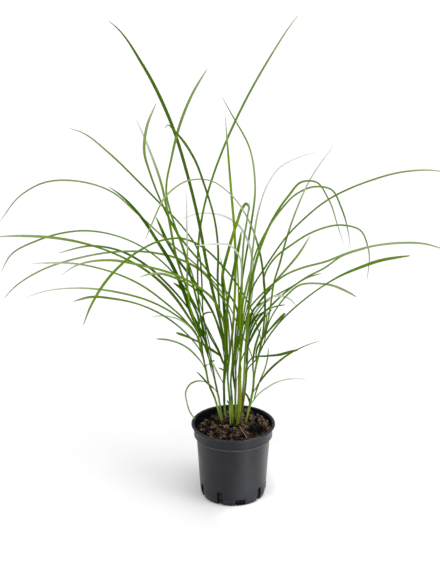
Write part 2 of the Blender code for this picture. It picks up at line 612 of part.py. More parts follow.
def drawn(points, start, tip_depth, count):
    """The 3D path through drawn points, in cm: its depth grows from start's depth to the tip's."""
    flat = smooth(np.asarray(points) * CM, count)
    run = length_along(flat)
    depth = start + (tip_depth * CM - start) * (run / run[-1]) ** DEPTH_GROWTH
    return np.array([at_depth(x, z, d) for (x, z), d in zip(flat, depth)])


class Shoot:
    """One shoot's line, from its foot in the soil to its tip, and its thickness."""

    def __init__(self, name, foot_depth, tip_depth, stem, leaf, collar, points):
        self.name = name
        self.stem = stem * CM
        self.leaf = leaf * CM
        self.collar = collar * CM
        self.heights = smooth(np.asarray(points) * CM, SHOOT_POINTS)[:, 1]
        self.line = drawn(points, foot_depth * CM, tip_depth, SHOOT_POINTS)
        self.heading = self.line[-1] - self.line[0]
        foot = self.line[0]
        below = unit(self.line[0] - self.line[12])
        depth = (foot[2] - soil_top(foot[0], foot[1]) + SOCKET_DEPTH) / -below[2]
        self.root = foot + below * depth

    def at(self, height):
        """The stem's centre, direction and half width at a drawn height."""
        index = int(np.searchsorted(self.heights, height * CM))
        centre = self.line[index]
        along = unit(self.line[index + 1] - self.line[index - 1])
        return centre, along, self.half_width(centre[2])

    def half_width(self, height):
        taper = 1 - 0.35 * ramp(height, 0.10, self.collar)
        return self.stem / 2 * taper

    def make(self, finish):
        """The stem, which turns into the innermost leaf above its collar."""
        lower = [self.root] + [self.line[i] for i in (0, 14, 28)]
        start = 45
        upper = self.line[start:: (len(self.line) - start - 1) // 14]
        path = np.array([*lower, *upper[:14], self.line[-1]])
        run = length_along(path)
        share = run / run[-1]
        opened = ramp(path[:, 2], self.collar, self.collar + 0.05)
        stem_width = np.array([2 * self.half_width(z) for z in path[:, 2]])
        leaf_width = self.leaf * (1 - share**3)
        width = stem_width * (1 - opened) + leaf_width * opened
        thickness = stem_width * 0.8 * (1 - opened) + LEAF_THICKNESS * (1 - 0.6 * share) * opened
        twist = np.radians(55) * ramp(share, 0.2, 1.0)
        name = "shoot_" + self.name
        return strand(
            name, path, self.heading, width, thickness, LEAF_FOLD * opened, twist, STEM_SIDES, finish
        )

    def socket(self, finish):
        """A cutter for the stem's hole in the soil."""
        below = unit(self.root - self.line[0])
        path = np.array([self.root + below * GAP, self.line[14], self.line[28]])
        wide = self.stem + 2.6 * GAP
        sizes = np.full(3, wide)
        return strand(
            "socket_" + self.name, path, self.heading, sizes, sizes * 0.8 + GAP, np.zeros(3), np.zeros(3),
            STEM_SIDES, finish,
        )


def leaf_sizes(width, share):
    """Width, thickness and fold along a leaf: narrower at its foot, fine at its tip."""
    widths = width * (0.55 + 0.45 * ramp(share, 0.0, FOOT_RUN)) * (1 - share**3.2)
    return widths, LEAF_THICKNESS * (1 - 0.6 * share), np.full(len(share), LEAF_FOLD)


def make_leaf(name, shoot, leaves_at, tip_depth, width, points, turn, finish, grown=False):
    """One leaf. A grown one starts inside its stem, and any other stands beside it."""
    centre, along, half = shoot.at(leaves_at)
    start_on_plane = EYE + (centre - EYE) * -EYE[1] / (centre[1] - EYE[1])
    start = [start_on_plane[0] / CM, start_on_plane[2] / CM]
    length = np.linalg.norm(np.diff([start, *points], axis=0), axis=1).sum()
    count = max(6, min(16, round(length / 3.6) + 3))
    path = drawn([start, *points], centre[1], tip_depth, count)
    heading = path[-1] - path[0]
    lean = path[1] - path[0]
    lean[1] += DEPTH_LEAN * (heading[1] - shoot.heading[1])
    side = unit(lean - along * lean.dot(along))
    run = length_along(path)
    share = run / run[-1]
    widths, thickness, fold = leaf_sizes(width * CM, share)
    if not grown:
        beside = half + GAP + thickness[0]
        path += side * (beside * (1 - ramp(share, 0.0, FOOT_RUN)))[:, None]
    most = math.radians(30 + 45 * abs(unit(heading)[0]))
    twist = turn * most * ramp(share, 0.02, 0.9)
    return strand(name, path, heading, widths, thickness, fold, twist, LEAF_SIDES, finish)


def make_straw(finish):
    """A dry stalk on the soil, from beside the shoots towards the front."""
    ends = [(0.0100, 0.0040), (0.0135, -0.0090), (0.0175, -0.0230), (0.0210, -0.0360)]
    radius = 0.0007
    height = max(soil_top(x, y) for x, y in ends) + radius + 0.0012
    path = np.array([(x, y, height) for x, y in ends])
    sizes = np.full(len(path), 2 * radius)
    none = np.zeros(len(path))
    return strand("straw", path, path[-1] - path[0], sizes, sizes, none, none, STEM_SIDES, finish)


def main():
    for obj in list(bpy.data.objects):
        bpy.data.objects.remove(obj)
    plastic = material("pot_plastic", (0.030, 0.031, 0.034), 0.45)
    earth = material("potting_soil", (0.045, 0.028, 0.018), 0.95)
    green = material("leaf_green", (0.085, 0.205, 0.025), 0.42)
    stem_green = material("stem_green", (0.190, 0.330, 0.060), 0.45)
    dry = material("dry_straw", (0.420, 0.300, 0.180), 0.80)
    make_pot(plastic)
    soil = make_soil(earth)
    turn = 1
    for name, sizes in SHOOTS.items():
        shoot = Shoot(name, *sizes)
        stem = shoot.make(stem_green)
        boolean(soil, shoot.socket(earth), "DIFFERENCE")
        for i, spur in enumerate(SPURS.get(name, [])):
            small = make_leaf(f"spur_{name}_{i + 1}", shoot, *spur, turn, green, grown=True)
            boolean(stem, small, "UNION")
        for leaf, drawing in LEAVES.get(name, {}).items():
            turn = -turn
            make_leaf(f"leaf_{name}_{leaf}", shoot, *drawing, turn, green)
    make_straw(dry)


main()
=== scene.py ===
"""The looks of a potted ornamental grass: its pot, soil, shoots, leaves and straw, in a plain studio.

Metres, +Z up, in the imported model's own frame: the origin is the centre of the pot's underside, and
the clump is seen from its front, along +Y. Every piece rides on the one body, "root".
"""

import math

import bmesh
import bpy
import numpy as np
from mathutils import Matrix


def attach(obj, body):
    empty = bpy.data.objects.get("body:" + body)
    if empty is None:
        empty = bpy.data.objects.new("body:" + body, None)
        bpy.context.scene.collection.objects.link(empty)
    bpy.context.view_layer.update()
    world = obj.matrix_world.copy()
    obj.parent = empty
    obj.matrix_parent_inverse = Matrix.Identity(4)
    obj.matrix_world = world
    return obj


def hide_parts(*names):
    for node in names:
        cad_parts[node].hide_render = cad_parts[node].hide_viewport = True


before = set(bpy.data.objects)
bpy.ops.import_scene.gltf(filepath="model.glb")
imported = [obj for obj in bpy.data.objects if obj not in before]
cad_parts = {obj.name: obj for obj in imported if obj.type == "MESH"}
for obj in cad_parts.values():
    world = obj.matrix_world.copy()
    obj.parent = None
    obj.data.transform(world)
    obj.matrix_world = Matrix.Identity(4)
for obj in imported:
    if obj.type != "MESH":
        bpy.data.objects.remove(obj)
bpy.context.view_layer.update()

# ---- the pot
#
# One shell of black polypropylene, injection moulded in one shot: a rolled lip, a straight rim band to
# lift it by, a step, and a thin wall that tapers to a flat floor. The mould leaves the drain openings
# round the foot. Soil dust and dried water dull the gloss, most of all on the band and near the floor.

POT_HEIGHT = 0.120
POT_SIDES = 144
WALL = 0.0012
FLOOR_THICKNESS = 0.0016
RING_INSIDE = 0.0300
RING_OUTSIDE = 0.0406
RING_SLOPE = 0.0006
RING_DEPTH = 0.0005
LIP_RADIUS = 0.065
LIP_HEIGHT = 0.0028
BAND_TOP_RADIUS = 0.0616
BAND_FOOT_RADIUS = 0.0605
BAND_HEIGHT = 0.0190
STEP_HEIGHT = 0.0025
SHOULDER_RADIUS = 0.0570
HEEL_RADIUS = 0.0508
HEEL_HEIGHT = 0.008
FOOT_RADIUS = 0.0492
SLOT_WIDTH = 0.0084
SLOT_HEIGHT = 0.0232
SLOT_ANGLES = (-68, -24, 52, 80, 130, 182, 234)
WINDOW_WIDTH = 0.0162
WINDOW_FOOT = 0.0022
WINDOW_TOP = 0.0112
WINDOW_ANGLE = 13
PEEP_SIZE = 0.0030
PEEP_ANGLE = 5
OPENING_DEPTH = 0.009
OPENING_START = -0.010
CORNER_SHARE = 0.3
CORNER_STEPS = 4
EDGE_ROUNDING = 0.0006
EDGE_STEPS = 4
POT_SHARP_ANGLE = 35
PLASTIC_BLACK = (0.0024, 0.0028, 0.0075)
PLASTIC_DUST = (0.020, 0.0220, 0.037)
PLASTIC_SCUFF = (0.045, 0.046, 0.056)
PLASTIC_PALE = (0.082, 0.082, 0.100)
PATCH_SCALE = 28
RUN_STRETCH = (150, 150, 9)
SPECK_SCALE = 900
SPLASH_HEIGHT = 0.045
PLASTIC_GRAIN_DEPTH = 0.00006


def mesh_of(name, points, faces):
    """A mesh of these points and faces, with its faces turned outwards."""
    mesh = bpy.data.meshes.new(name)
    mesh.from_pydata([tuple(map(float, point)) for point in points], [], faces)
    work = bmesh.new()
    work.from_mesh(mesh)
    bmesh.ops.recalc_face_normals(work, faces=work.faces)
    work.to_mesh(mesh)
    work.free()
    return mesh


def add_object(name, mesh):
    obj = bpy.data.objects.new(name, mesh)
    bpy.context.scene.collection.objects.link(obj)
    return obj


def evaluated_mesh(obj):
    """The object's mesh with its modifiers in it. The modifiers are then removed."""
    graph = bpy.context.evaluated_depsgraph_get()
    mesh = bpy.data.meshes.new_from_object(obj.evaluated_get(graph))
    obj.modifiers.clear()
    return mesh


def smooth_shaded(mesh, degrees):
    mesh.shade_smooth()
    mesh.set_sharp_from_angle(angle=math.radians(degrees))


def rounded(corners, radius):
    """The profile with each inner corner turned into a short curve."""
    corners = [np.array(corner, float) for corner in corners]
    out = [corners[0]]
    for before, corner, after in zip(corners, corners[1:], corners[2:]):
        back, ahead = before - corner, after - corner
        reach = min(radius, 0.45 * np.linalg.norm(back), 0.45 * np.linalg.norm(ahead))
        start = corner + back / np.linalg.norm(back) * reach
        end = corner + ahead / np.linalg.norm(ahead) * reach
        for t in np.linspace(0.0, 1.0, EDGE_STEPS + 1):
            out.append((1 - t) ** 2 * start + 2 * t * (1 - t) * corner + t**2 * end)
    out.append(corners[-1])
    return out


def turned(name, profile, sides):
    """The profile (radius, height) turned round Z. Its first and last points are on the axis."""
    turns = [2 * math.pi * k / sides for k in range(sides)]
    points = [(0.0, 0.0, profile[0][1])]
    for radius, height in profile[1:-1]:
        points += [(radius * math.cos(turn), radius * math.sin(turn), height) for turn in turns]
    points.append((0.0, 0.0, profile[-1][1]))
    rings = len(profile) - 2
    end = len(points) - 1
    faces = []
    for k in range(sides):
        after = (k + 1) % sides
        faces.append((0, 1 + after, 1 + k))
        for ring in range(rings - 1):
            near, far = 1 + ring * sides, 1 + (ring + 1) * sides
            faces.append((near + k, near + after, far + after, far + k))
        last = 1 + (rings - 1) * sides
        faces.append((last + k, last + after, end))
    return mesh_of(name, points, faces)


def opening(name, degrees, width, foot, top):
    """A cutter with a round-cornered top, through the pot's wall, from foot to top."""
    corner = min(width, top - foot) * CORNER_SHARE
    outline = [(-width / 2, foot), (width / 2, foot)]
    for side, start in ((1, 0.0), (-1, math.pi / 2)):
        for step in range(CORNER_STEPS + 1):
            angle = start + step * math.pi / 2 / CORNER_STEPS
            x = side * (width / 2 - corner) + corner * math.cos(angle)
            outline.append((x, top - corner + corner * math.sin(angle)))
    angle = math.radians(degrees)
    out = np.array((math.sin(angle), -math.cos(angle), 0.0))
    side = np.array((math.cos(angle), math.sin(angle), 0.0))
    rise = np.array((0.0, 0.0, 1.0))
    ends = (FOOT_RADIUS - OPENING_DEPTH, LIP_RADIUS)
    points = [out * radius + side * x + rise * z for radius in ends for x, z in outline]
    count = len(outline)
    faces = [tuple(range(count)), tuple(range(count, 2 * count))]
    faces += [(k, (k + 1) % count, count + (k + 1) % count, count + k) for k in range(count)]
    return add_object(name, mesh_of(name, points, faces))


class Wire:
    """A node's output, or a sum of outputs. Sums and products add the Math nodes they need."""

    def __init__(self, nodes, socket):
        self.nodes = nodes
        self.socket = socket

    def maths(self, operation, *values):
        node = self.nodes.add("ShaderNodeMath", {"operation": operation})
        for socket, value in zip(node.inputs, values):
            self.nodes.put(socket, value)
        return Wire(self.nodes, node.outputs[0])

    def __add__(self, other):
        return self.maths("ADD", self, other)

    def __sub__(self, other):
        return self.maths("SUBTRACT", self, other)

    def __rsub__(self, other):
        return self.maths("SUBTRACT", other, self)

    def __mul__(self, other):
        return self.maths("MULTIPLY", self, other)

    def __pow__(self, other):
        return self.maths("POWER", self, other)

    def __abs__(self):
        return self.maths("ABSOLUTE", self)

    __radd__ = __add__
    __rmul__ = __mul__


class Nodes:
    """A node tree, filled one node at a time."""

    def __init__(self, tree):
        self.tree = tree
        self.tree.nodes.clear()

    def add(self, kind, settings=None):
        node = self.tree.nodes.new(kind)
        for name, value in (settings or {}).items():
            setattr(node, name, value)
        return node

    def put(self, socket, value):
        """Links the value to the socket if it is a wire, and sets it there if it isn't."""
        if isinstance(value, Wire):
            self.tree.links.new(value.socket, socket)
        elif isinstance(value, tuple) and len(value) == 3 and socket.type == "RGBA":
            socket.default_value = (*value, 1.0)
        else:
            socket.default_value = value

    def node(self, kind, settings=None, sockets=None, output=0):
        """A node with its settings, then its sockets' values or links. It gives one output."""
        node = self.add(kind, settings)
        for name, value in (sockets or {}).items():
            found = [s for s in node.inputs if s.enabled and name in (s.name, s.identifier)]
            self.put(found[0], value)
        outputs = [s for s in node.outputs if s.enabled]
        if isinstance(output, str):
            return Wire(self, next(s for s in outputs if s.name == output))
        return Wire(self, outputs[output])

    def mix(self, share, first, second):
        """The first colour where share is 0 and the second where it is 1."""
        sockets = {"Factor_Float": share, "A_Color": first, "B_Color": second}
        return self.node("ShaderNodeMix", {"data_type": "RGBA"}, sockets, "Result")

    def clamped(self, value, zero, one):
        """0 where the value is `zero` or past it, 1 where it is `one` or past it, smooth between them."""
        sockets = {"Value": value, "From Min": zero, "From Max": one}
        return self.node("ShaderNodeMapRange", {"interpolation_type": "SMOOTHSTEP"}, sockets)

    def part(self, vector, axis):
        """One coordinate of the vector."""
        return self.node("ShaderNodeSeparateXYZ", None, {"Vector": vector}, axis)


class Material(Nodes):
    """One finish: a Principled shader and what feeds it. The preview colour is the plain view's."""

    def __init__(self, name, preview, roughness):
        self.material = bpy.data.materials.new(name)
        self.material.use_nodes = True
        self.material.diffuse_color = (*preview, 1.0)
        super().__init__(self.material.node_tree)
        self.shader = self.add("ShaderNodeBsdfPrincipled")
        self.shader.inputs["Roughness"].default_value = roughness
        output = self.add("ShaderNodeOutputMaterial")
        self.tree.links.new(self.shader.outputs[0], output.inputs["Surface"])
        self.place = self.node("ShaderNodeTexCoord", output="Object")

    def set(self, **values):
        for name, value in values.items():
            self.put(self.shader.inputs[name.replace("_", " ")], value)

    def noise(self, scale, detail, stretch=None):
        """Clouds from 0 to 1, `scale` of them in a metre, or streaks where they are stretched."""
        place = self.place
        if stretch:
            place = self.node("ShaderNodeMapping", None, {"Vector": place, "Scale": stretch})
        return self.node("ShaderNodeTexNoise", None, {"Vector": place, "Scale": scale, "Detail": detail})

    def patches(self, scale, detail, zero, one):
        """Soft-edged patches: 1 in them and 0 between them."""
        return self.clamped(self.noise(scale, detail), zero, one)

    def bump(self, height, distance):
        sockets = {"Height": height, "Distance": distance, "Strength": 1.0}
        self.put(self.shader.inputs["Normal"], self.node("ShaderNodeBump", None, sockets))

    def attribute(self, name, output="Fac"):
        return self.node("ShaderNodeAttribute", {"attribute_name": name}, output=output)


def finish_piece(obj, material, slot, *nodes):
    """The piece's material, the solids it stands for and the body it rides on. Its slot is not used."""
    obj.data.materials.clear()
    obj.data.materials.append(material)
    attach(obj, "root")
    if nodes:
        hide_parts(*nodes)


band_foot = POT_HEIGHT - BAND_HEIGHT
step_foot = band_foot - STEP_HEIGHT
lip_foot = POT_HEIGHT - LIP_HEIGHT
# The outline of the outside and then of the inside, as (radius, height), from the middle of the underside
# over the lip to the middle of the floor. The small steps at its corners are bevels and fillets.
outside = [
    (0.0, 0.0),
    (RING_INSIDE, 0.0),
    (RING_INSIDE + RING_SLOPE, RING_DEPTH),
    (RING_OUTSIDE - RING_SLOPE, RING_DEPTH),
    (RING_OUTSIDE, 0.0),
    (FOOT_RADIUS - 0.0012, 0.0),
    (FOOT_RADIUS, 0.0012),
    (HEEL_RADIUS, HEEL_HEIGHT),
    (HEEL_RADIUS + 0.0006, HEEL_HEIGHT + 0.0006),
    (SHOULDER_RADIUS, step_foot - 0.0006),
    (SHOULDER_RADIUS + 0.0009, step_foot),
    (BAND_FOOT_RADIUS - 0.0002, band_foot - 0.0007),
    (BAND_FOOT_RADIUS + 0.0005, band_foot),
    (BAND_FOOT_RADIUS + 0.0005, band_foot + 0.0009),
    (BAND_FOOT_RADIUS + 0.0001, band_foot + 0.0015),
    (BAND_TOP_RADIUS - 0.0001, lip_foot - 0.0009),
    (LIP_RADIUS - 0.0011, lip_foot - 0.0001),
    (LIP_RADIUS, lip_foot + 0.0007),
    (LIP_RADIUS, POT_HEIGHT - 0.0008),
    (LIP_RADIUS - 0.0010, POT_HEIGHT),
]
inside = [
    (BAND_TOP_RADIUS - WALL + 0.0006, POT_HEIGHT),
    (BAND_TOP_RADIUS - WALL, POT_HEIGHT - 0.0012),
    (BAND_FOOT_RADIUS - WALL, band_foot + 0.0006),
    (SHOULDER_RADIUS - WALL, step_foot + 0.0002),
    (FOOT_RADIUS - WALL, FLOOR_THICKNESS),
    (0.0, FLOOR_THICKNESS),
]
profile = rounded(outside + inside, EDGE_ROUNDING)
pot = add_object("nursery_pot", turned("nursery_pot", profile, POT_SIDES))
cutters = []
for i, angle in enumerate(SLOT_ANGLES):
    cutters.append(opening(f"slot_{i + 1}", angle, SLOT_WIDTH, OPENING_START, SLOT_HEIGHT))
cutters.append(opening("window", WINDOW_ANGLE, WINDOW_WIDTH, WINDOW_FOOT, WINDOW_TOP))
cutters.append(opening("peep", PEEP_ANGLE, PEEP_SIZE, OPENING_START, PEEP_SIZE))
for cutter in cutters:
    cut = pot.modifiers.new(cutter.name, "BOOLEAN")
    cut.operation = "DIFFERENCE"
    cut.object = cutter
pot.data = evaluated_mesh(pot)
for cutter in cutters:
    bpy.data.objects.remove(cutter)
smooth_shaded(pot.data, POT_SHARP_ANGLE)

plastic = Material("black_pot_plastic", PLASTIC_BLACK, 0.42)
height = plastic.part(plastic.place, "Z")
clouds = plastic.noise(PATCH_SCALE, 5)
runs = plastic.noise(1, 3, RUN_STRETCH)
specks = plastic.noise(SPECK_SCALE, 2)
splash = plastic.clamped(height, SPLASH_HEIGHT, 0.0)
band_dust = plastic.clamped(height, band_foot - 0.003, band_foot + 0.012)
dust = plastic.clamped(clouds, 0.45, 0.75) * (0.35 + 0.5 * splash + 0.5 * band_dust)
dust = dust + plastic.clamped(runs, 0.55, 0.8) * 0.30
dust = dust + plastic.clamped(specks, 0.66, 0.74) * (0.15 + 0.6 * splash)
lip_wear = plastic.clamped(height, POT_HEIGHT - 0.0022, POT_HEIGHT - 0.0002)
# A pale line round the band's foot edge: partly wear, partly a painted highlight where the step faces up.
from_edge = abs(height - (band_foot + 0.0002))
edge_wear_and_highlight = plastic.clamped(from_edge, 0.0014, 0.0004)
rubbed = plastic.patches(160, 4, 0.35, 0.7)
shade = plastic.mix(dust * 0.8, PLASTIC_BLACK, PLASTIC_DUST)
shade = plastic.mix(lip_wear * rubbed * 0.7, shade, PLASTIC_SCUFF)
plastic.set(Base_Color=plastic.mix(edge_wear_and_highlight * (0.55 + 0.45 * rubbed), shade, PLASTIC_PALE))
plastic.set(Roughness=0.30 + 0.10 * clouds + 0.26 * dust, Specular_IOR_Level=0.34)
plastic.bump(plastic.noise(1400, 2) + 1.4 * plastic.noise(260, 3), PLASTIC_GRAIN_DEPTH)
finish_piece(pot, plastic.material, "pot_plastic", "pot")

# ---- the potting soil
#
# Moist peat and bark compost, filled in loose and pressed round the roots. It is higher to the right
# and the back, has crumbled away in a hollow beside the right-hand shoot, and fills the pot down to
# its drain openings, where it shows with a few pale roots.

GAP = 0.0003
SOIL_LEVEL = 0.1085
SOIL_LEAN_ACROSS = 0.075
SOIL_LEAN_AWAY = 0.035
HOLLOW_PLACE = (0.036, -0.002)
HOLLOW_SIZE = (0.011, 0.022)
HOLLOW_DEPTH = 0.0085
# Each mound: its height, its place and its size.
MOUNDS = ((0.0022, (0.002, 0.014), (0.022, 0.020)), (0.0050, (0.024, 0.054), (0.024, 0.020)))
SOIL_SIDES = 300
SOIL_RINGS = 120
SIDE_RINGS = 60
SIDE_ROUGHNESS = 0.0009
EDGE_WIDTH = 0.003
# The clods and the grit between them: how many, the smallest and the largest.
CLODS = (950, 0.0011, 0.0058)
GRIT = (2850, 0.0005, 0.0016)
PEAT_DARK = (0.0024, 0.0014, 0.0010)
PEAT_BROWN = (0.044, 0.027, 0.018)
BARK_BROWN = (0.240, 0.156, 0.104)
BARK_TAN = (0.46, 0.35, 0.26)
CRUMB_SCALE = 620
ROOT_STRETCH = (500, 500, 120)
# The heaped, dry patches of compost, with painted shade between them: their scale and detail, and where
# they end.
HEAPS_AND_SHADE = (105, 3, 0.43, 0.57)
COMPOST_GRAIN_DEPTH = 0.0006


def away_from(place, size, x, y):
    """How far (x, y) is from a hollow's or a mound's place, as a share of its half size."""
    return np.hypot((x - place[0]) / size[0], (y - place[1]) / size[1])


def soil_top(x, y):
    """The height of the soil's surface: leaning up to the right and back, lumpy, with a hollow."""
    lumps = 0.0011 * np.sin(x * 310 + 1.3) * np.cos(y * 270 - 0.6)
    lumps += 0.0008 * np.sin(x * 520 - y * 430 + 0.4)
    lumps += 0.0006 * np.cos(x * 760 + y * 690)
    hollow = HOLLOW_DEPTH * np.exp(-(away_from(HOLLOW_PLACE, HOLLOW_SIZE, x, y) ** 2))
    mound = sum(rise * np.exp(-(away_from(place, size, x, y) ** 2)) for rise, place, size in MOUNDS)
    return SOIL_LEVEL + SOIL_LEAN_ACROSS * x + SOIL_LEAN_AWAY * y + lumps + mound - hollow


def clods(x, y, count, small, large, seed):
    """Rounded lumps pressed together: the height of the highest at each place, and its tone, 0 to 1."""
    chance = np.random.default_rng(seed)
    reach = BAND_TOP_RADIUS * np.sqrt(chance.random(count))
    turn = 2 * math.pi * chance.random(count)
    size = small + (large - small) * chance.random(count) ** 2
    long = chance.uniform(0.6, 1.5, count)
    leans, tones = chance.uniform(0, math.pi, count), chance.random(count)
    height, tone = np.full(x.shape, -small), np.zeros(x.shape)
    for r, a, s, stretch, lean, own in zip(reach, turn, size, long, leans, tones):
        dx, dy = x - r * math.cos(a), y - r * math.sin(a)
        along = (dx * math.cos(lean) + dy * math.sin(lean)) / stretch
        aside = (dy * math.cos(lean) - dx * math.sin(lean)) * stretch
        square = (along**2 + aside**2) / s**2
        dome = s * (0.85 * np.sqrt(1 - np.minimum(square, 1)) - 0.42)
        highest = (square < 1) & (dome > height)
        height[highest], tone[highest] = dome[highest], own
    return height, tone


turns = np.linspace(0, 2 * math.pi, SOIL_SIDES, endpoint=False)
reach = BAND_FOOT_RADIUS - WALL - 2 * GAP
rows = [(np.zeros(1), np.zeros(1))]
for ring in range(1, SOIL_RINGS + 1):
    radius = reach * ring / SOIL_RINGS
    rows.append((radius * np.cos(turns), radius * np.sin(turns)))
x = np.concatenate([row[0] for row in rows])
y = np.concatenate([row[1] for row in rows])
edge = np.clip((reach - np.hypot(x, y)) / EDGE_WIDTH, 0, 1)
lumps, tone = clods(x, y, *CLODS, seed=11)
lumps = edge * (lumps + 0.5 * clods(x, y, *GRIT, seed=12)[0])
z = soil_top(x, y) + lumps
points = list(zip(x, y, z))
shoulder_reach = SHOULDER_RADIUS - WALL - 2 * GAP
foot_reach = FOOT_RADIUS - WALL - 2 * GAP
soil_foot = FLOOR_THICKNESS + GAP
below = [(reach, band_foot + 0.0006), (shoulder_reach, step_foot)]
for share in np.linspace(0, 1, SIDE_RINGS)[1:]:
    radius = shoulder_reach + (foot_reach - shoulder_reach) * share
    below.append((radius, step_foot * (1 - share) + soil_foot * share))
chance = np.random.default_rng(13)
for radius, height in below:
    rough = radius - SIDE_ROUGHNESS * chance.random(SOIL_SIDES)
    points += list(zip(rough * np.cos(turns), rough * np.sin(turns), np.full(SOIL_SIDES, height)))
points.append((0.0, 0.0, below[-1][1]))
bands = SOIL_RINGS + len(below)
faces = [(0, 1 + k, 1 + (k + 1) % SOIL_SIDES) for k in range(SOIL_SIDES)]
for ring in range(bands - 1):
    near = 1 + ring * SOIL_SIDES
    far = near + SOIL_SIDES
    for k in range(SOIL_SIDES):
        after = (k + 1) % SOIL_SIDES
        faces.append((near + k, far + k, far + after, near + after))
last = 1 + (bands - 1) * SOIL_SIDES
faces += [(last + k, len(points) - 1, last + (k + 1) % SOIL_SIDES) for k in range(SOIL_SIDES)]
soil = add_object("potting_soil", mesh_of("potting_soil", points, faces))
soil.data.shade_smooth()
for label, on_top, on_side in (("relief", lumps, 0.0004), ("tone", tone, 0.85)):
    attribute = soil.data.attributes.new(label, "FLOAT", "POINT")
    side_values = np.full(len(points) - len(on_top), on_side)
    attribute.data.foreach_set("value", np.concatenate([on_top, side_values]))


def hollow_shade(material):
    """1 in the hollow, where shade is painted dark, and 0 round it."""
    offset = material.node("ShaderNodeVectorMath", {"operation": "SUBTRACT"},
                           {"Vector": material.place, "Vector_001": (*HOLLOW_PLACE, SOIL_LEVEL)})
    offset = material.node("ShaderNodeVectorMath", {"operation": "DIVIDE"},
                           {"Vector": offset, "Vector_001": (*HOLLOW_SIZE, 0.02)})
    distance = material.node("ShaderNodeVectorMath", {"operation": "LENGTH"}, {"Vector": offset}, "Value")
    return material.clamped(distance, 1.35, 0.75)


compost = Material("potting_compost", PEAT_BROWN, 0.9)
crumb_sockets = {"Vector": compost.place, "Scale": CRUMB_SCALE}
crumbs = compost.node("ShaderNodeTexVoronoi", None, crumb_sockets, "Color")
crumb = compost.node("ShaderNodeSeparateColor", None, {"Color": crumbs})
in_hollow = hollow_shade(compost)
moisture = compost.patches(60, 4, 0.35, 0.65)
heaped = compost.patches(*HEAPS_AND_SHADE)
to_back = compost.part(compost.place, "Y")
to_right = compost.part(compost.place, "X")
# Painted light: brighter towards the back and the right.
lit_back_right = compost.clamped(to_back * 0.7 + to_right * 0.5, 0.004, 0.045)
# Painted shade: the low places between the clods are painted dark.
crevice_shade = compost.clamped(compost.attribute("relief"), 0.0009, -0.0004)
# Painted highlight: the tops of the clods are painted lighter.
lit_tops = compost.clamped(compost.attribute("relief"), 0.0008, 0.0022)
pore_shade = compost.patches(420, 5, 0.53, 0.46)
dry_patches = compost.patches(150, 3, 0.42, 0.62)
own = compost.attribute("tone") * 0.8 + crumb * 0.2
shade = compost.mix(compost.clamped(own, 0.15, 0.5), PEAT_DARK, PEAT_BROWN)
shade = compost.mix(compost.clamped(own, 0.45, 0.8), shade, BARK_BROWN)
shade = compost.mix(0.6 * compost.clamped(own, 0.82, 0.92), shade, BARK_TAN)
# Painted shade: dark specks stand for the shade in pores between the crumbs.
shade = compost.mix(0.75 * pore_shade, shade, PEAT_DARK)
shade = compost.mix(0.6 * moisture, shade, PEAT_DARK)
# Partly a dry crust and partly a painted highlight on the clods' tops in dry patches.
shade = compost.mix(0.75 * lit_tops * dry_patches, shade, BARK_BROWN)
roots = compost.clamped(compost.noise(1, 2, ROOT_STRETCH), 0.66, 0.70)
flecks = compost.patches(1500, 2, 0.70, 0.76)
shade = compost.mix(0.7 * roots + 0.8 * flecks, shade, BARK_TAN)
# Painted shade: the compost between the heaps is painted dark.
shade = compost.mix(0.85 - 0.85 * heaped, shade, PEAT_DARK)
# Painted light: the soil is painted lighter towards the right, where the lamp stands.
shade = compost.mix(0.28 * compost.clamped(to_right, 0.0, 0.05), shade, BARK_BROWN)
# Painted highlight on the clods' tops towards the back and the right.
shade = compost.mix(0.6 * lit_back_right * lit_tops, shade, BARK_TAN)
# Painted shade: the soil is painted darker towards the front.
shade = compost.mix(0.5 * compost.clamped(to_back, -0.012, -0.045), shade, PEAT_DARK)
# Painted shade: the crevices between the clods and the hollow are painted nearly black.
compost.set(Base_Color=compost.mix(0.95 * crevice_shade + 0.9 * in_hollow, shade, PEAT_DARK))
compost.set(Roughness=0.95 - 0.25 * moisture, Specular_IOR_Level=0.06)
compost.bump(compost.noise(700, 5) + 0.7 * crumb, COMPOST_GRAIN_DEPTH)
finish_piece(soil, compost.material, "potting_soil", "soil")

# ---- the crumbs, bark chips, fibres and perlite on the soil
#
# Loose bits of the compost: crumbs of peat, flat chips of composted bark, pale fibres of wood and coir,
# and a few white grains of perlite. They lie as they fell, most of them to the right and the back.

CRUMB_SIZE = 0.0013
CHIP_SIZE = 0.0038
FIBRE_LENGTH = 0.011
FIBRE_RADIUS = 0.00028
PERLITE_SIZE = 0.0016
FIBRE_SIDES = 4
FIBRE_RINGS = 7
LITTER_ROUGHNESS = 0.85
LITTER_GRAIN_SCALE = 900
LITTER_GRAIN_DEPTH = 0.0003


def ragged_lump(name, seed, flat):
    """An angular grain, about as large as a 1 m ball."""
    work = bmesh.new()
    bmesh.ops.create_icosphere(work, subdivisions=1, radius=0.5)
    chance = np.random.default_rng(seed)
    for vert in work.verts:
        vert.co *= float(chance.uniform(0.65, 1.25))
        vert.co.z *= flat
    mesh = bpy.data.meshes.new(name)
    work.to_mesh(mesh)
    work.free()
    return add_object(name, mesh)


def ring_faces(start, sides, rings):
    """The faces that join rings of `sides` points each. The first ring begins at the point `start`."""
    faces = []
    for ring in range(rings - 1):
        near_ring, far_ring = start + ring * sides, start + (ring + 1) * sides
        for k in range(sides):
            after = (k + 1) % sides
            faces.append((near_ring + k, near_ring + after, far_ring + after, far_ring + k))
    return faces


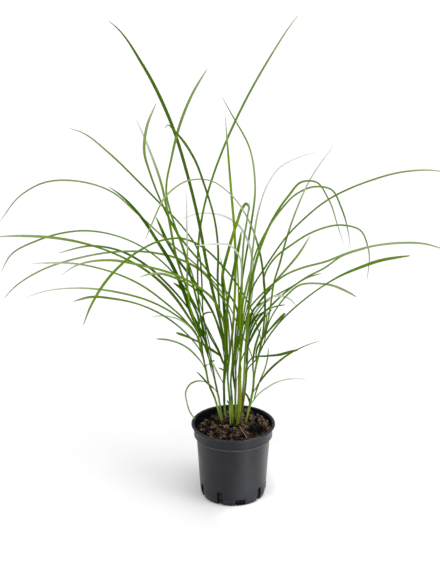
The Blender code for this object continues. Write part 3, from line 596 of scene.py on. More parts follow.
def bent_fibre(name, seed):
    """A bent thread of 1 m, with a radius in the same proportion."""
    chance = np.random.default_rng(seed)
    bend = chance.uniform(-0.3, 0.3, 2)
    points = []
    for t in np.linspace(0, 1, FIBRE_RINGS):
        radius = FIBRE_RADIUS / FIBRE_LENGTH * (1.2 - 0.8 * abs(2 * t - 1) ** 2)
        aside = bend[0] * t * (1 - t) + 0.1 * bend[1] * math.sin(9 * t)
        up = 0.1 * math.sin(4 * t + seed)
        for k in range(FIBRE_SIDES):
            angle = 2 * math.pi * k / FIBRE_SIDES
            points.append((t - 0.5, aside + radius * math.cos(angle), up + radius * math.sin(angle)))
    faces = ring_faces(0, FIBRE_SIDES, FIBRE_RINGS)
    faces.append(tuple(range(FIBRE_SIDES)))
    faces.append(tuple(range(len(points) - FIBRE_SIDES, len(points))))
    return add_object(name, mesh_of(name, points, faces))


class GeometryTree(Nodes):
    """A Geometry Nodes tree with named inputs, and one output for its geometry."""

    def __init__(self, name, inputs):
        tree = bpy.data.node_groups.new(name, "GeometryNodeTree")
        super().__init__(tree)
        tree.interface.new_socket("Geometry", in_out="OUTPUT", socket_type="NodeSocketGeometry")
        for label, kind in inputs.items():
            tree.interface.new_socket(label, in_out="INPUT", socket_type="NodeSocket" + kind)
        self.entry = self.add("NodeGroupInput")
        self.exit = self.add("NodeGroupOutput")

    def input(self, label):
        return Wire(self, self.entry.outputs[label])

    def grown_on(self, obj, **values):
        """The mesh that the tree makes on the object, with its inputs set to these values."""
        modifier = obj.modifiers.new(self.tree.name, "NODES")
        modifier.node_group = self.tree
        for item in self.tree.interface.items_tree:
            if item.in_out == "INPUT" and item.name in values:
                modifier[item.identifier] = values[item.name]
        return evaluated_mesh(obj)


kinds = {"Geometry": "Geometry", "Grain": "Object", "Density": "Float", "Size": "Float", "Sink": "Float",
         "Tilt": "Float", "Seed": "Int", "Finish": "Material"}
litter = GeometryTree("litter_on_soil", kinds)
surface, seed, tilt = (litter.input(label) for label in ("Geometry", "Seed", "Tilt"))
cover = litter.node("GeometryNodeInputNamedAttribute", {"data_type": "FLOAT"}, {"Name": "cover"})
spread = litter.node(
    "GeometryNodeDistributePointsOnFaces", {"distribute_method": "RANDOM"},
    {"Mesh": surface, "Density": litter.input("Density") * cover, "Seed": seed},
)
normal = Wire(litter, spread.socket.node.outputs["Normal"])
sink_sockets = {"Vector": normal, "Scale": litter.input("Sink") * -1.0}
sunk = litter.node("ShaderNodeVectorMath", {"operation": "SCALE"}, sink_sockets)
spread = litter.node("GeometryNodeSetPosition", None, {"Geometry": spread, "Offset": sunk})
lie = litter.node("FunctionNodeAlignRotationToVector", {"axis": "Z"}, {"Vector": normal})
turn_low = litter.node("ShaderNodeCombineXYZ", None, {"X": tilt * -1.0, "Y": tilt * -1.0, "Z": 0.0})
turn_high = litter.node("ShaderNodeCombineXYZ", None, {"X": tilt, "Y": tilt, "Z": 2 * math.pi})
turn_sockets = {"Min": turn_low, "Max": turn_high, "Seed": seed}
turn = litter.node("FunctionNodeRandomValue", {"data_type": "FLOAT_VECTOR"}, turn_sockets)
lie_sockets = {"Rotation": lie, "Rotate By": turn}
lie = litter.node("FunctionNodeRotateRotation", {"rotation_space": "LOCAL"}, lie_sockets)
size_sockets = {"Min": (0.35, 0.35, 0.35), "Max": (1.3, 1.1, 1.2), "Seed": seed + 7}
size = litter.node("FunctionNodeRandomValue", {"data_type": "FLOAT_VECTOR"}, size_sockets)
scale_sockets = {"Vector": size, "Scale": litter.input("Size")}
size = litter.node("ShaderNodeVectorMath", {"operation": "SCALE"}, scale_sockets)
grain = litter.node("GeometryNodeObjectInfo", None, {"Object": litter.input("Grain")}, "Geometry")
laid_sockets = {"Points": spread, "Instance": grain, "Rotation": lie, "Scale": size}
laid = litter.node("GeometryNodeInstanceOnPoints", None, laid_sockets)
tone = litter.node("FunctionNodeRandomValue", {"data_type": "FLOAT"}, {"Seed": seed + 3})
laid = litter.node(
    "GeometryNodeStoreNamedAttribute", {"data_type": "FLOAT", "domain": "INSTANCE"},
    {"Geometry": laid, "Name": "tone", "Value": tone},
)
laid = litter.node("GeometryNodeRealizeInstances", None, {"Geometry": laid})
finish_sockets = {"Geometry": laid, "Material": litter.input("Finish")}
laid = litter.node("GeometryNodeSetMaterial", None, finish_sockets)
litter.put(litter.exit.inputs[0], laid)

# Where the litter lies: on the soil's top, more of it on clods, to the right and the back, less in the
# hollow and none at the pot's wall.
bed = bpy.data.meshes.new("litter_bed")
bed.from_pydata(points[: 1 + SOIL_RINGS * SOIL_SIDES], [], faces[: SOIL_SIDES * SOIL_RINGS])
bed = add_object("litter_bed", bed)
right_back = np.clip(0.55 + 16 * x + 9 * y, 0.25, 1.6)
heaped = np.clip((lumps - 0.0001) / 0.0014, 0.05, 1)
heaped *= np.clip(away_from(HOLLOW_PLACE, HOLLOW_SIZE, x, y) - 0.35, 0.05, 1)
cover = bed.data.attributes.new("cover", "FLOAT", "POINT")
cover.data.foreach_set("value", right_back * heaped * np.clip(edge * 1.5, 0, 1))


def litter_finish(name, dark, light):
    """Grains of a dry or moist tone each, streaked, with painted shade between the heaps and in the hollow.
    """
    finish = Material(name, light, LITTER_ROUGHNESS)
    tone = finish.attribute("tone")
    streaks = finish.noise(LITTER_GRAIN_SCALE, 4)
    heaped = finish.patches(*HEAPS_AND_SHADE)
    # Painted shade: grains between the heaps stay nearer their dark colour, those on them are lighter.
    shade = finish.mix((tone ** 1.6) * (0.25 + 0.75 * heaped), dark, light)
    shade = finish.mix(0.55 * finish.clamped(streaks, 0.35, 0.7), shade, dark)
    # Painted shade in the hollow.
    finish.set(Base_Color=finish.mix(0.8 * hollow_shade(finish), shade, PEAT_DARK))
    finish.set(Roughness=LITTER_ROUGHNESS - 0.15 * streaks, Specular_IOR_Level=0.06)
    finish.bump(streaks, LITTER_GRAIN_DEPTH)
    return finish.material


# name: (one grain, grains per square metre, size, how deep it sinks, tilt in radians, its two colours)
LITTER = {
    "peat_crumbs": (
        ragged_lump("crumb", 21, 0.8), 260000, CRUMB_SIZE, 0.0002, 0.6, PEAT_DARK, (0.27, 0.185, 0.13),
    ),
    "bark_chips": (
        ragged_lump("chip", 22, 0.32), 42000, CHIP_SIZE, 0.0001, 0.6, PEAT_DARK, (0.46, 0.34, 0.25),
    ),
    "wood_fibres": (
        bent_fibre("fibre", 23), 17000, FIBRE_LENGTH, -0.0004, 0.25, BARK_BROWN, (0.42, 0.31, 0.21),
    ),
    "perlite": (
        ragged_lump("grain", 24, 0.9), 2600, PERLITE_SIZE, 0.0, 0.9, (0.50, 0.45, 0.40), (0.75, 0.72, 0.68),
    ),
}
for seed, (name, (grain, density, size, sink, tilt, dark, light)) in enumerate(LITTER.items()):
    finish = litter_finish(name, dark, light)
    mesh = litter.grown_on(
        bed, Grain=grain, Density=density, Size=size, Sink=sink, Tilt=tilt, Seed=seed, Finish=finish
    )
    piece = add_object(name, mesh)
    finish_piece(piece, finish, "potting_soil")
    bpy.data.objects.remove(grain)
bpy.data.objects.remove(bed)

# ---- the shoots
#
# Ten living shoots, each a bundle of rolled leaf sheaths, slightly flattened, rooted in the soil. The
# innermost leaf unrolls above the collar and arches over. Old sheaths are purple-brown at the foot.

CM = 0.01
# The place from which the strands were drawn, which is the camera's.
EYE = np.array((-0.0205, -2.05, 1.1395))
SOCKET_DEPTH = 0.018
SHOOT_POINTS = 240
STEM_SIDES = 18
STEM_FLATNESS = 0.8
# A stem tapers from this height up to its collar, and is narrower in its first centimetres over the soil.
TAPER_START = 0.14
FOOT_RISE = 0.03
# The stem opens into its leaf over this height above the collar.
OPENING_RUN = 0.05
# The swelling at a joint and its size along the stem, and the size of its pale mark, in cm.
JOINT_SWELL = 0.09
JOINT_SIZE = 0.16
JOINT_MARK_SIZE = 0.22
# The heights between which an old sheath's stripe ends.
STRIPE_TOP = (0.175, 0.215)
LEAF_FOLD = 0.17
LEAF_THICKNESS = 0.0005
SHEATH_THICKNESS = 0.00022
# A blade keeps its width almost up to its tip: the power of its share of length by which it narrows.
BLADE_TIP_POWER = 15
# How a strand's depth grows along it, how far its heading in depth turns a leaf's foot round its stem, and
# the share of a leaf's length over which it comes back from the stem's skin to its drawn line.
DEPTH_GROWTH = 1.7
DEPTH_LEAN = 0.08
FOOT_RUN = 0.3
# How much closer the points lie where a line bends, and its points between two drawn ones.
BEND_SHARE = 0.06
SPAN_STEPS = 24
# How far a blade turns its broad side to the front, and the angle of the twist that it adds.
FACING = 0.8
BLADE_TWIST = 25
PLANT_SHARP_ANGLE = 55
PLANT_SPECULAR = 0.01
PLANT_GRAIN_DEPTH = 0.00005
VEIN_SCALE = 9

# name: (foot depth, tip depth, stem width, leaf width, collar height, points), lengths in cm. The points
# (across, up) lie on the upright plane through the pot's axis, as seen from EYE.
SHOOTS = {
    "left_outer": (2.5, -16.0, 0.46, 0.46, 21.0, [
        (-1.8, 12.2), (-2.25, 13.9), (-2.9, 16.3), (-3.8, 18.7), (-4.15, 20.7), (-4.5, 22.4), (-4.95, 24.2),
        (-5.9, 27.3), (-8.9, 30.1), (-12.3, 32.1), (-17.0, 33.6), (-24.0, 34.35), (-28.5, 33.8),
        (-32.3, 32.3),
    ]),
    "left_inner": (3.2, 9.0, 0.42, 0.54, 22.0, [
        (-1.65, 12.5), (-1.95, 14.2), (-2.2, 16.0), (-2.6, 18.0), (-2.95, 20.0), (-3.3, 22.0), (-4.1, 25.2),
        (-6.0, 29.3), (-7.7, 34.4), (-9.2, 38.0), (-11.3, 41.7), (-14.1, 46.1), (-16.5, 48.8),
        (-18.8, 50.6),
    ]),
    "left_back": (3.9, 15.1, 0.44, 0.42, 20.5, [
        (-1.2, 12.9), (-1.35, 14.5), (-1.42, 17.0), (-1.45, 19.0), (-1.4, 20.6), (-1.25, 23.0),
        (-1.2, 26.0), (-1.3, 29.0), (-1.5, 33.0), (-1.6, 37.0), (-1.1, 39.2), (-0.35, 42.1), (0.5, 44.9),
        (1.25, 47.0), (1.75, 47.6), (2.1, 47.3), (2.0, 45.8), (1.85, 44.2), (1.4, 41.5),
    ]),
    "middle_left": (1.2, 7.0, 0.44, 0.38, 19.0, [
        (-0.4, 11.3), (-0.45, 13.0), (-0.55, 16.0), (-0.75, 18.0), (-0.87, 20.0), (-0.72, 22.3),
        (-0.45, 24.5), (-0.15, 27.0), (0.1, 31.0), (0.25, 36.0), (0.1, 43.0), (-0.4, 49.0), (-1.0, 56.5),
        (-1.45, 62.5),
    ]),
    "middle_right": (1.7, 27.0, 0.4, 0.42, 20.0, [
        (-0.1, 11.7), (-0.12, 14.0), (-0.25, 16.5), (-0.4, 18.5), (-0.3, 20.5), (0.0, 22.6), (0.2, 25.0),
        (0.4, 28.0), (1.0, 33.5), (1.6, 38.1), (2.4, 43.5), (3.05, 50.4), (2.2, 56.0), (-0.4, 61.0),
        (-2.3, 64.5),
    ]),
    "yellow": (2.6, -7.0, 0.34, 0.34, 19.0, [
        (0.35, 12.2), (0.37, 14.0), (0.32, 16.0), (0.36, 18.0), (0.35, 20.0), (0.3, 22.0), (0.45, 25.0),
        (0.85, 30.0), (1.15, 34.0), (1.25, 38.0), (1.5, 42.0), (2.0, 45.8), (2.3, 48.6),
    ]),
    "broad": (0.9, -18.0, 0.62, 0.4, 19.5, [
        (0.55, 11.1), (0.78, 13.0), (0.93, 15.0), (0.98, 17.0), (0.95, 19.0), (1.0, 22.0), (1.1, 26.0),
        (1.6, 30.5), (2.4, 35.5), (2.8, 40.5), (3.7, 47.0), (4.9, 50.6), (6.6, 53.1), (9.0, 54.5),
        (13.0, 55.8),
    ]),
    "sheathed": (1.9, -21.0, 0.46, 0.48, 20.5, [
        (0.95, 12.0), (1.15, 13.7), (1.36, 15.6), (1.5, 17.3), (1.6, 19.0), (1.68, 21.0), (1.85, 24.5),
        (2.15, 29.0), (2.6, 35.0), (3.65, 39.8), (6.0, 45.7), (8.0, 48.8), (9.9, 50.9), (11.8, 50.9),
        (13.7, 48.4), (15.3, 44.0), (16.6, 40.3),
    ]),
    "right": (1.8, 15.0, 0.48, 0.46, 22.0, [
        (1.85, 11.7), (2.3, 13.8), (2.75, 16.0), (3.05, 18.0), (3.2, 20.0), (3.5, 21.8), (3.9, 23.8),
        (4.35, 26.3), (4.65, 29.5), (4.7, 33.0), (4.55, 36.2), (5.9, 38.9), (8.5, 41.2), (12.0, 43.4),
        (16.0, 44.3), (18.6, 43.5), (19.9, 40.6), (19.8, 34.4),
    ]),
    "back": (4.3, 19.0, 0.4, 0.46, 22.0, [
        (1.3, 13.3), (1.5, 15.0), (1.8, 17.5), (2.0, 20.0), (2.1, 22.0), (2.15, 24.5), (2.2, 28.0),
        (2.45, 33.0), (3.15, 39.5), (5.1, 43.9), (7.0, 46.8), (9.0, 49.0), (11.8, 50.2), (14.1, 49.8),
        (15.7, 47.0), (16.9, 43.0), (17.4, 39.0),
    ]),
}

# Small side leaves on the stems: (height where it leaves, tip depth, width, tone, points), lengths in cm.
SPURS = {
    "left_outer": [
        (21.0, -1.0, 0.28, "green", [(-3.8, 21.7), (-3.35, 22.2), (-2.85, 22.6)]),
    ],
    "left_inner": [
        (16.9, 5.0, 0.34, "green", [(-3.2, 17.9), (-4.0, 18.7), (-4.9, 19.8), (-5.7, 20.7)]),
        (25.6, 5.5, 0.26, "dry_tip", [
            (-4.55, 27.6), (-4.7, 29.3), (-4.4, 30.2), (-3.9, 30.4), (-3.1, 30.3), (-2.7, 29.5),
            (-2.4, 28.4),
        ]),
    ],
    "left_back": [
        (18.2, 2.0, 0.28, "faint", [(-2.4, 20.4), (-2.9, 21.5), (-3.4, 22.4)]),
        (21.0, 0.5, 0.34, "deep", [(-2.2, 23.8), (-3.1, 25.5), (-3.6, 26.5), (-4.0, 27.6), (-4.5, 28.5)]),
        (29.5, 3.5, 0.26, "lime", [(-1.0, 32.0), (-1.27, 34.2), (-1.5, 36.0), (-1.8, 38.2), (-2.0, 39.4)]),
    ],
    "middle_left": [
        (14.6, 0.0, 0.3, "green", [(-0.8, 15.2), (-0.9, 15.8)]),
        (20.0, -2.0, 0.3, "green", [(-1.6, 20.9), (-2.3, 21.3)]),
        (22.6, 0.0, 0.28, "husk", [(-0.62, 24.8), (-0.67, 26.4), (-0.75, 28.2), (-0.8, 29.8)]),
    ],
    "yellow": [
        (16.6, 1.0, 0.36, "deep", [(0.13, 18.6), (-0.02, 20.1), (0.0, 21.4), (0.18, 22.8)]),
    ],
    "broad": [
        (26.0, -8.0, 0.32, "soft", [(1.25, 29.0), (1.45, 32.3), (1.75, 33.9), (2.07, 35.5), (2.79, 38.4)]),
    ],
    "sheathed": [
        (24.0, 2.0, 0.28, "deep", [(2.58, 26.0), (3.4, 27.9), (3.75, 28.5), (4.4, 29.6), (5.1, 30.6)]),
        (26.6, 1.5, 0.28, "deep", [(2.75, 28.9), (3.35, 29.8), (4.4, 31.3), (4.93, 32.1), (5.56, 32.5)]),
    ],
    "right": [
        (14.2, -1.5, 0.36, "green", [(2.45, 15.7), (2.2, 16.4), (1.85, 16.95), (1.4, 17.4)]),
        (14.6, 5.0, 0.28, "lime", [
            (3.05, 15.7), (3.34, 16.7), (4.06, 19.0), (4.92, 21.4), (5.25, 23.2), (5.3, 24.9),
        ]),
        (19.2, 1.0, 0.36, "green", [(3.0, 21.6), (3.1, 23.4), (3.32, 24.8), (3.9, 27.1), (4.22, 28.3)]),
        (25.4, 3.5, 0.24, "pale", [(4.71, 27.4), (4.87, 28.4), (5.03, 29.8), (5.2, 30.7)]),
    ],
}

# The greens of the plant, and its dry and bleached colours.
DEEP = (0.022, 0.100, 0.002)
BLUISH = (0.026, 0.088, 0.010)
GREEN = (0.050, 0.158, 0.003)
FRESH = (0.118, 0.238, 0.016)
LIME = (0.195, 0.330, 0.010)
OLIVE = (0.230, 0.265, 0.025)
SOFT = (0.172, 0.275, 0.062)
PALE = (0.290, 0.385, 0.170)
FAINT = (0.500, 0.570, 0.420)
GHOST = (0.760, 0.790, 0.720)
PURPLE = (0.130, 0.055, 0.030)
# The next two are the pale sheaths and buds at the stems' feet: their own pale colour, painted brighter
# still as painted light against the shade inside the pot.
LIT_PALE_SHEATH = (0.380, 0.600, 0.120)
LIT_PALE_BUD = (0.440, 0.680, 0.026)
HUSK = (0.300, 0.235, 0.150)

# Where each shoot shows them: (height in cm, colour).
SHOOT_GREENS = {
    "left_outer": ((11, LIT_PALE_SHEATH), (15, LIT_PALE_SHEATH), (17, GREEN), (28, GREEN), (32.5, FRESH), (34.2, SOFT)),
    "left_inner": ((11, LIT_PALE_SHEATH), (15.5, LIT_PALE_SHEATH), (18, GREEN), (27, GREEN), (31, DEEP), (46, DEEP),
                   (51, GREEN)),
    "left_back": ((12, LIT_PALE_SHEATH), (14.2, LIT_PALE_SHEATH), (15.5, BLUISH), (21, BLUISH), (24, DEEP), (36, DEEP),
                  (41, FRESH), (44, LIME), (48, FRESH)),
    "middle_left": ((11, LIT_PALE_SHEATH), (14.5, LIT_PALE_SHEATH), (16.5, GREEN), (19, LIME), (25, GREEN), (30, LIME),
                    (57, LIME), (60, SOFT), (63, PALE)),
    "middle_right": ((11, LIME), (13, LIT_PALE_BUD), (14.5, LIT_PALE_BUD), (16, FRESH), (27, GREEN), (44, GREEN),
                     (47, FRESH), (50, PALE), (55, PALE), (58, FRESH), (61, FRESH), (65, PALE)),
    "yellow": ((11, OLIVE), (14, LIT_PALE_BUD), (17, LIME), (19.5, GREEN), (29, GREEN), (33, FRESH), (49, PALE)),
    "broad": ((10, OLIVE), (13, LIME), (18, OLIVE), (21, GREEN), (32, GREEN), (37, SOFT), (43, PALE),
              (48, FAINT)),
    "sheathed": ((11, HUSK), (12.5, PURPLE), (17, PURPLE), (18.5, PALE), (24, FRESH), (33, GREEN),
                 (42, FRESH), (50, FRESH)),
    "right": ((11, LIME), (13, LIT_PALE_BUD), (15.5, LIT_PALE_SHEATH), (18, FRESH), (26, LIME), (31, FRESH), (41, FRESH),
              (44, SOFT)),
    "back": ((12, PALE), (16, FRESH), (26, FRESH), (46, FRESH), (49, SOFT)),
}

# How a blade fades: from and to which share of its shoot's length, and its colour there.
NO_FADE = (1.0, 1.1, FAINT)
# name: (width of the stem and of its blade beside the solid's, heights of the joints in cm, colour of the
# stripe on its left side, how the blade fades)
SHOOT_LOOKS = {
    "left_outer": (0.86, 0.65, (14.0, 18.9), None, (0.68, 0.90, FAINT)),
    "left_inner": (0.86, 1.05, (14.6, 19.3), None, NO_FADE),
    "left_back": (0.86, 1.12, (15.0,), None, (0.82, 0.87, FAINT)),
    "middle_left": (0.82, 1.0, (15.1, 18.2), PALE, (0.88, 1.0, GHOST)),
    "middle_right": (0.86, 0.74, (15.6,), None, NO_FADE),
    "yellow": (1.0, 0.92, (), PURPLE, NO_FADE),
    "broad": (1.15, 0.68, (14.4, 18.6), PURPLE, (0.66, 0.84, GHOST)),
    "sheathed": (0.9, 0.78, (17.6,), HUSK, (0.85, 1.2, FAINT)),
    "right": (0.86, 0.62, (14.4, 18.0), None, (0.7, 1.1, FAINT)),
    "back": (0.86, 0.62, (17.0,), None, (0.84, 1.0, GHOST)),
}

# The tones of the leaves, from the foot (0) to the tip (1).
TONES = {
    "deep": ((0, GREEN), (0.15, DEEP), (0.8, DEEP), (1, GREEN)),
    "green": ((0, GREEN), (0.2, DEEP), (0.55, GREEN), (1, FRESH)),
    "deep_fading": ((0, GREEN), (0.3, DEEP), (0.6, GREEN), (0.78, SOFT), (0.9, PALE), (1, FAINT)),
    "soft": ((0, DEEP), (0.25, GREEN), (0.5, FRESH), (0.8, SOFT), (0.93, PALE), (1, FAINT)),
    "soft_fading": ((0, DEEP), (0.25, GREEN), (0.5, FRESH), (0.7, SOFT), (0.86, FAINT), (1, GHOST)),
    "lime": ((0, GREEN), (0.3, LIME), (0.8, LIME), (1, PALE)),
    "lime_fading": ((0, GREEN), (0.2, LIME), (0.42, FRESH), (0.62, PALE), (0.8, FAINT), (1, FAINT)),
    "lime_bleached": ((0, GREEN), (0.3, LIME), (0.5, FRESH), (0.65, FAINT), (0.85, GHOST), (1, GHOST)),
    "pale": ((0, FRESH), (0.25, FRESH), (0.5, SOFT), (0.68, PALE), (1, PALE)),
    "pale_top": ((0, GREEN), (0.2, DEEP), (0.35, GREEN), (0.5, FAINT), (0.62, PALE), (1, PALE)),
    "faint": ((0, FRESH), (0.14, PALE), (0.3, FAINT), (0.6, FAINT), (0.75, GHOST), (1, GHOST)),
    "dry_tip": ((0, GREEN), (0.62, GREEN), (0.72, FAINT), (1, FAINT)),
    "husk": ((0, OLIVE), (0.3, HUSK), (1, HUSK)),
}


def smooth(points, count):
    """`count` points on a smooth curve through the points given, closer together where it bends."""
    points = np.asarray(points, float)
    steps = np.linalg.norm(np.diff(points, axis=0), axis=1)
    slopes = np.gradient(points, length_along(points), axis=0)
    dense = []
    for i, step in enumerate(steps):
        t = np.linspace(0.0, 1.0, SPAN_STEPS, endpoint=i == len(steps) - 1)[:, None]
        dense.append(
            (2 * t**3 - 3 * t**2 + 1) * points[i]
            + (t**3 - 2 * t**2 + t) * step * slopes[i]
            + (3 * t**2 - 2 * t**3) * points[i + 1]
            + (t**3 - t**2) * step * slopes[i + 1]
        )
    dense = np.concatenate(dense)
    sides = np.diff(dense, axis=0)
    lengths = np.linalg.norm(sides, axis=1)
    headings = sides / lengths[:, None]
    bends = np.linalg.norm(np.diff(headings, axis=0, append=headings[-1:]), axis=1)
    run = np.concatenate([[0.0], np.cumsum(lengths + BEND_SHARE * bends)])
    at = np.linspace(0.0, run[-1], count)
    return np.stack([np.interp(at, run, column) for column in dense.T], axis=1)


def length_along(path):
    """The length of the path up to each of its points."""
    return np.concatenate([[0.0], np.cumsum(np.linalg.norm(np.diff(path, axis=0), axis=1))])


def unit(vector):
    return vector / np.linalg.norm(vector)


def ramp(value, start, end):
    """0 up to start, 1 from end, and a smooth rise between them."""
    t = np.clip((value - start) / (end - start), 0.0, 1.0)
    return t * t * (3 - 2 * t)


def near(value, place, size):
    """1 at the place, falling off round it: about 0.4 at `size` from it and nearly 0 at twice that."""
    return np.exp(-(((value - place) / size) ** 2))


def at_depth(across, up, depth):
    """The point that covers (across, up) of the drawing plane, `depth` behind it. Metres."""
    on_plane = np.array((across, 0.0, up))
    return EYE + (on_plane - EYE) * (depth - EYE[1]) / -EYE[1]


def drawn(points, start, tip_depth, count):
    """The 3D path through drawn points, in cm: its depth grows from start's depth to the tip's."""
    flat = smooth(np.asarray(points) * CM, count)
    run = length_along(flat)
    depth = start + (tip_depth * CM - start) * (run / run[-1]) ** DEPTH_GROWTH
    return np.array([at_depth(x, z, d) for (x, z), d in zip(flat, depth)])


def blended(stops, at):
    """The colour at each of the places `at`, between stops of (place, colour)."""
    places = [place for place, colour in stops]
    return np.stack([np.interp(at, places, [c[i] for p, c in stops]) for i in range(3)], axis=-1)


def toward(colours, goal, share):
    """The colours, each moved toward the goal colour by its share."""
    return colours + (np.array(goal) - colours) * np.asarray(share)[:, None]


def frames(path, heading, facing=None, twist=None):
    """Along, across and upper at each station. Upper looks up where the strand lies over.

    Facing is how far the strand turns its broad side to the front, 0 to 1, at each station, and twist
    is a turn of its own, in radians.
    """
    flat = unit(np.array((-heading[1], heading[0], 0.0)))
    out, before = [], 0.0
    for i, tangent in enumerate(np.gradient(path, axis=0)):
        tangent = unit(tangent)
        across = unit(flat - tangent * flat.dot(tangent))
        upper = np.cross(tangent, across)
        if facing is not None:
            broad = np.cross(tangent, EYE - path[i])
            angle = math.atan2(broad.dot(upper), broad.dot(across))
            angle -= math.pi * round((angle - before) / math.pi)
            before = angle
            angle = angle * facing[i] + twist[i]
            across, upper = (
                across * math.cos(angle) + upper * math.sin(angle),
                upper * math.cos(angle) - across * math.sin(angle),
            )
        out.append((tangent, across, upper))
    return out


class Plant:
    """Points and faces of one growing piece, with each point's colour and its place on the strand."""

    def __init__(self):
        self.points, self.faces = [], []
        self.tint, self.across, self.along, self.under = [], [], [], []

    def add_rings(self, rings, tints, across, along, under):
        """Joins rings of points into a closed strand with a flat foot and a pointed tip."""
        start, sides = len(self.points), len(rings[0])
        for ring, tint, place in zip(rings, tints, along):
            self.points += list(ring)
            self.tint += list(tint)
            self.across += list(across)
            self.under += list(under)
            self.along += [place] * sides
        tip = np.mean(rings[-1], axis=0)
        self.points.append(tip + (tip - np.mean(rings[-2], axis=0)) * 0.4)
        self.tint.append(tints[-1][0])
        self.across.append(0.0)
        self.under.append(0.0)
        self.along.append(along[-1])
        self.faces.append(tuple(start + k for k in range(sides)))
        self.faces += ring_faces(start, sides, len(rings))
        last = start + (len(rings) - 1) * sides
        self.faces += [(last + k, last + (k + 1) % sides, len(self.points) - 1) for k in range(sides)]

    def grown(self, name, material, slot, node):
        """The finished piece, which stands for the solid `node`."""
        mesh = mesh_of(name, self.points, self.faces)
        colours = mesh.color_attributes.new("tint", "FLOAT_COLOR", "POINT")
        colours.data.foreach_set("color", np.c_[np.array(self.tint), np.ones(len(self.tint))].ravel())
        for label in ("across", "along", "under"):
            values = mesh.attributes.new(label, "FLOAT", "POINT")
            values.data.foreach_set("value", np.array(getattr(self, label), float))
        smooth_shaded(mesh, PLANT_SHARP_ANGLE)
        finish_piece(add_object(name, mesh), material, slot, node)


class Shoot:
    """One shoot's line, from its foot in the soil to its tip, with its thickness and its colours."""

    def __init__(self, name, sizes, looks):
        foot_depth, tip_depth, stem, leaf, collar, points = sizes
        stem_share, leaf_share, self.joints, self.stripe, self.fade = looks
        self.name = name
        self.stem = stem * CM * stem_share
        self.leaf = leaf * CM * leaf_share
        self.collar = collar * CM
        self.heights = smooth(np.asarray(points) * CM, SHOOT_POINTS)[:, 1]
        self.line = drawn(points, foot_depth * CM, tip_depth, SHOOT_POINTS)
        self.heading = self.line[-1] - self.line[0]
        self.frames = frames(self.line, self.heading)
        foot = self.line[0]
        below = unit(foot - self.line[SHOOT_POINTS // 20])
        depth = (foot[2] - soil_top(foot[0], foot[1]) + SOCKET_DEPTH) / -below[2]
        self.root = foot + below * depth

    def at(self, height):
        """The index, centre, direction and half width of the stem at a drawn height."""
        index = int(np.searchsorted(self.heights, height * CM))
        centre = self.line[index]
        along = unit(self.line[index + 1] - self.line[index - 1])
        return index, centre, along, self.half_width(centre[2])

    def half_width(self, height):
        taper = 1 - 0.2 * ramp(height, TAPER_START, self.collar)
        return self.stem / 2 * taper * (0.6 + 0.4 * ramp(height, SOIL_LEVEL, SOIL_LEVEL + FOOT_RISE))

    def skin(self, index, aim, gap):
        """The point on the stem's skin, or `gap` off it, in the direction `aim` from its centre."""
        index = min(max(index, 0), SHOOT_POINTS - 1)
        centre = self.line[index]
        tangent, across, upper = self.frames[index]
        aim = unit(aim - tangent * aim.dot(tangent))
        half = self.half_width(centre[2])
        reach = 1 / math.hypot(aim.dot(across) / half, aim.dot(upper) / (STEM_FLATNESS * half))
        return centre + aim * (reach + gap)

    def greens(self, heights):
        return blended(SHOOT_GREENS[self.name], np.asarray(heights) / CM)

    def at_joints(self, heights, size):
        """1 at the height of each of the stem's joints, and 0 away from them."""
        marks = [near(heights / CM, joint, size) for joint in self.joints]
        return np.max([np.zeros(len(heights)), *marks], axis=0)

    def grow(self, plant):
        """The stem, which opens into the innermost leaf above its collar."""
        picked = range(0, SHOOT_POINTS, 3)
        path = np.array([self.root, *(self.line[i] for i in picked)])
        heights = np.array([self.heights[0] - SOCKET_DEPTH, *(self.heights[i] for i in picked)])
        share = length_along(path) / length_along(path)[-1]
        opened = ramp(path[:, 2], self.collar, self.collar + OPENING_RUN)
        stem = np.array([2 * self.half_width(z) for z in path[:, 2]])
        stem = stem * (1 + JOINT_SWELL * self.at_joints(heights, JOINT_SIZE))
        fade_start, fade_end, faded_green = self.fade
        faded = ramp(share, fade_start, fade_end)
        width = stem * (1 - opened) + self.leaf * (1 - share**BLADE_TIP_POWER) * opened
        width = width * (1 - 0.3 * faded)
        thickness = stem * STEM_FLATNESS * (1 - opened) + LEAF_THICKNESS * (1 - 0.6 * share) * opened
        twist = math.radians(BLADE_TWIST) * np.sin(share * 5 + 9 * self.stem / CM) * opened
        greens = toward(self.greens(heights), faded_green, faded)
        greens = toward(greens, PALE, 0.5 * self.at_joints(heights, JOINT_MARK_SIZE) * (1 - opened))
        striped = 0.75 * (1 - ramp(heights, *STRIPE_TOP))
        angles = np.arange(STEM_SIDES) * 2 * math.pi / STEM_SIDES
        seam = 1 + 0.05 * (np.arange(STEM_SIDES) / STEM_SIDES - 0.5)
        rings, tints = [], []
        stations = frames(path, self.heading, FACING * opened, twist)
        for i, (centre, (tangent, turned, upper)) in enumerate(zip(path, stations)):
            rolled = seam * (1 - opened[i]) + opened[i]
            rise = thickness[i] / 2 * np.sin(angles) * rolled
            rise = rise + LEAF_FOLD * opened[i] * width[i] * np.abs(np.cos(angles))
            aside = width[i] / 2 * np.cos(angles) * rolled
            rings.append(centre + np.outer(aside, turned) + np.outer(rise, upper))
            tint = np.tile(greens[i], (STEM_SIDES, 1))
            if self.stripe:
                left = ramp(turned[0] * -np.cos(angles) + upper[0] * -np.sin(angles), 0.2, 0.8)
                tint = toward(tint, self.stripe, striped[i] * left)
            tints.append(tint)
        plant.add_rings(rings, tints, np.cos(angles), length_along(path), np.sin(angles) < -0.1)


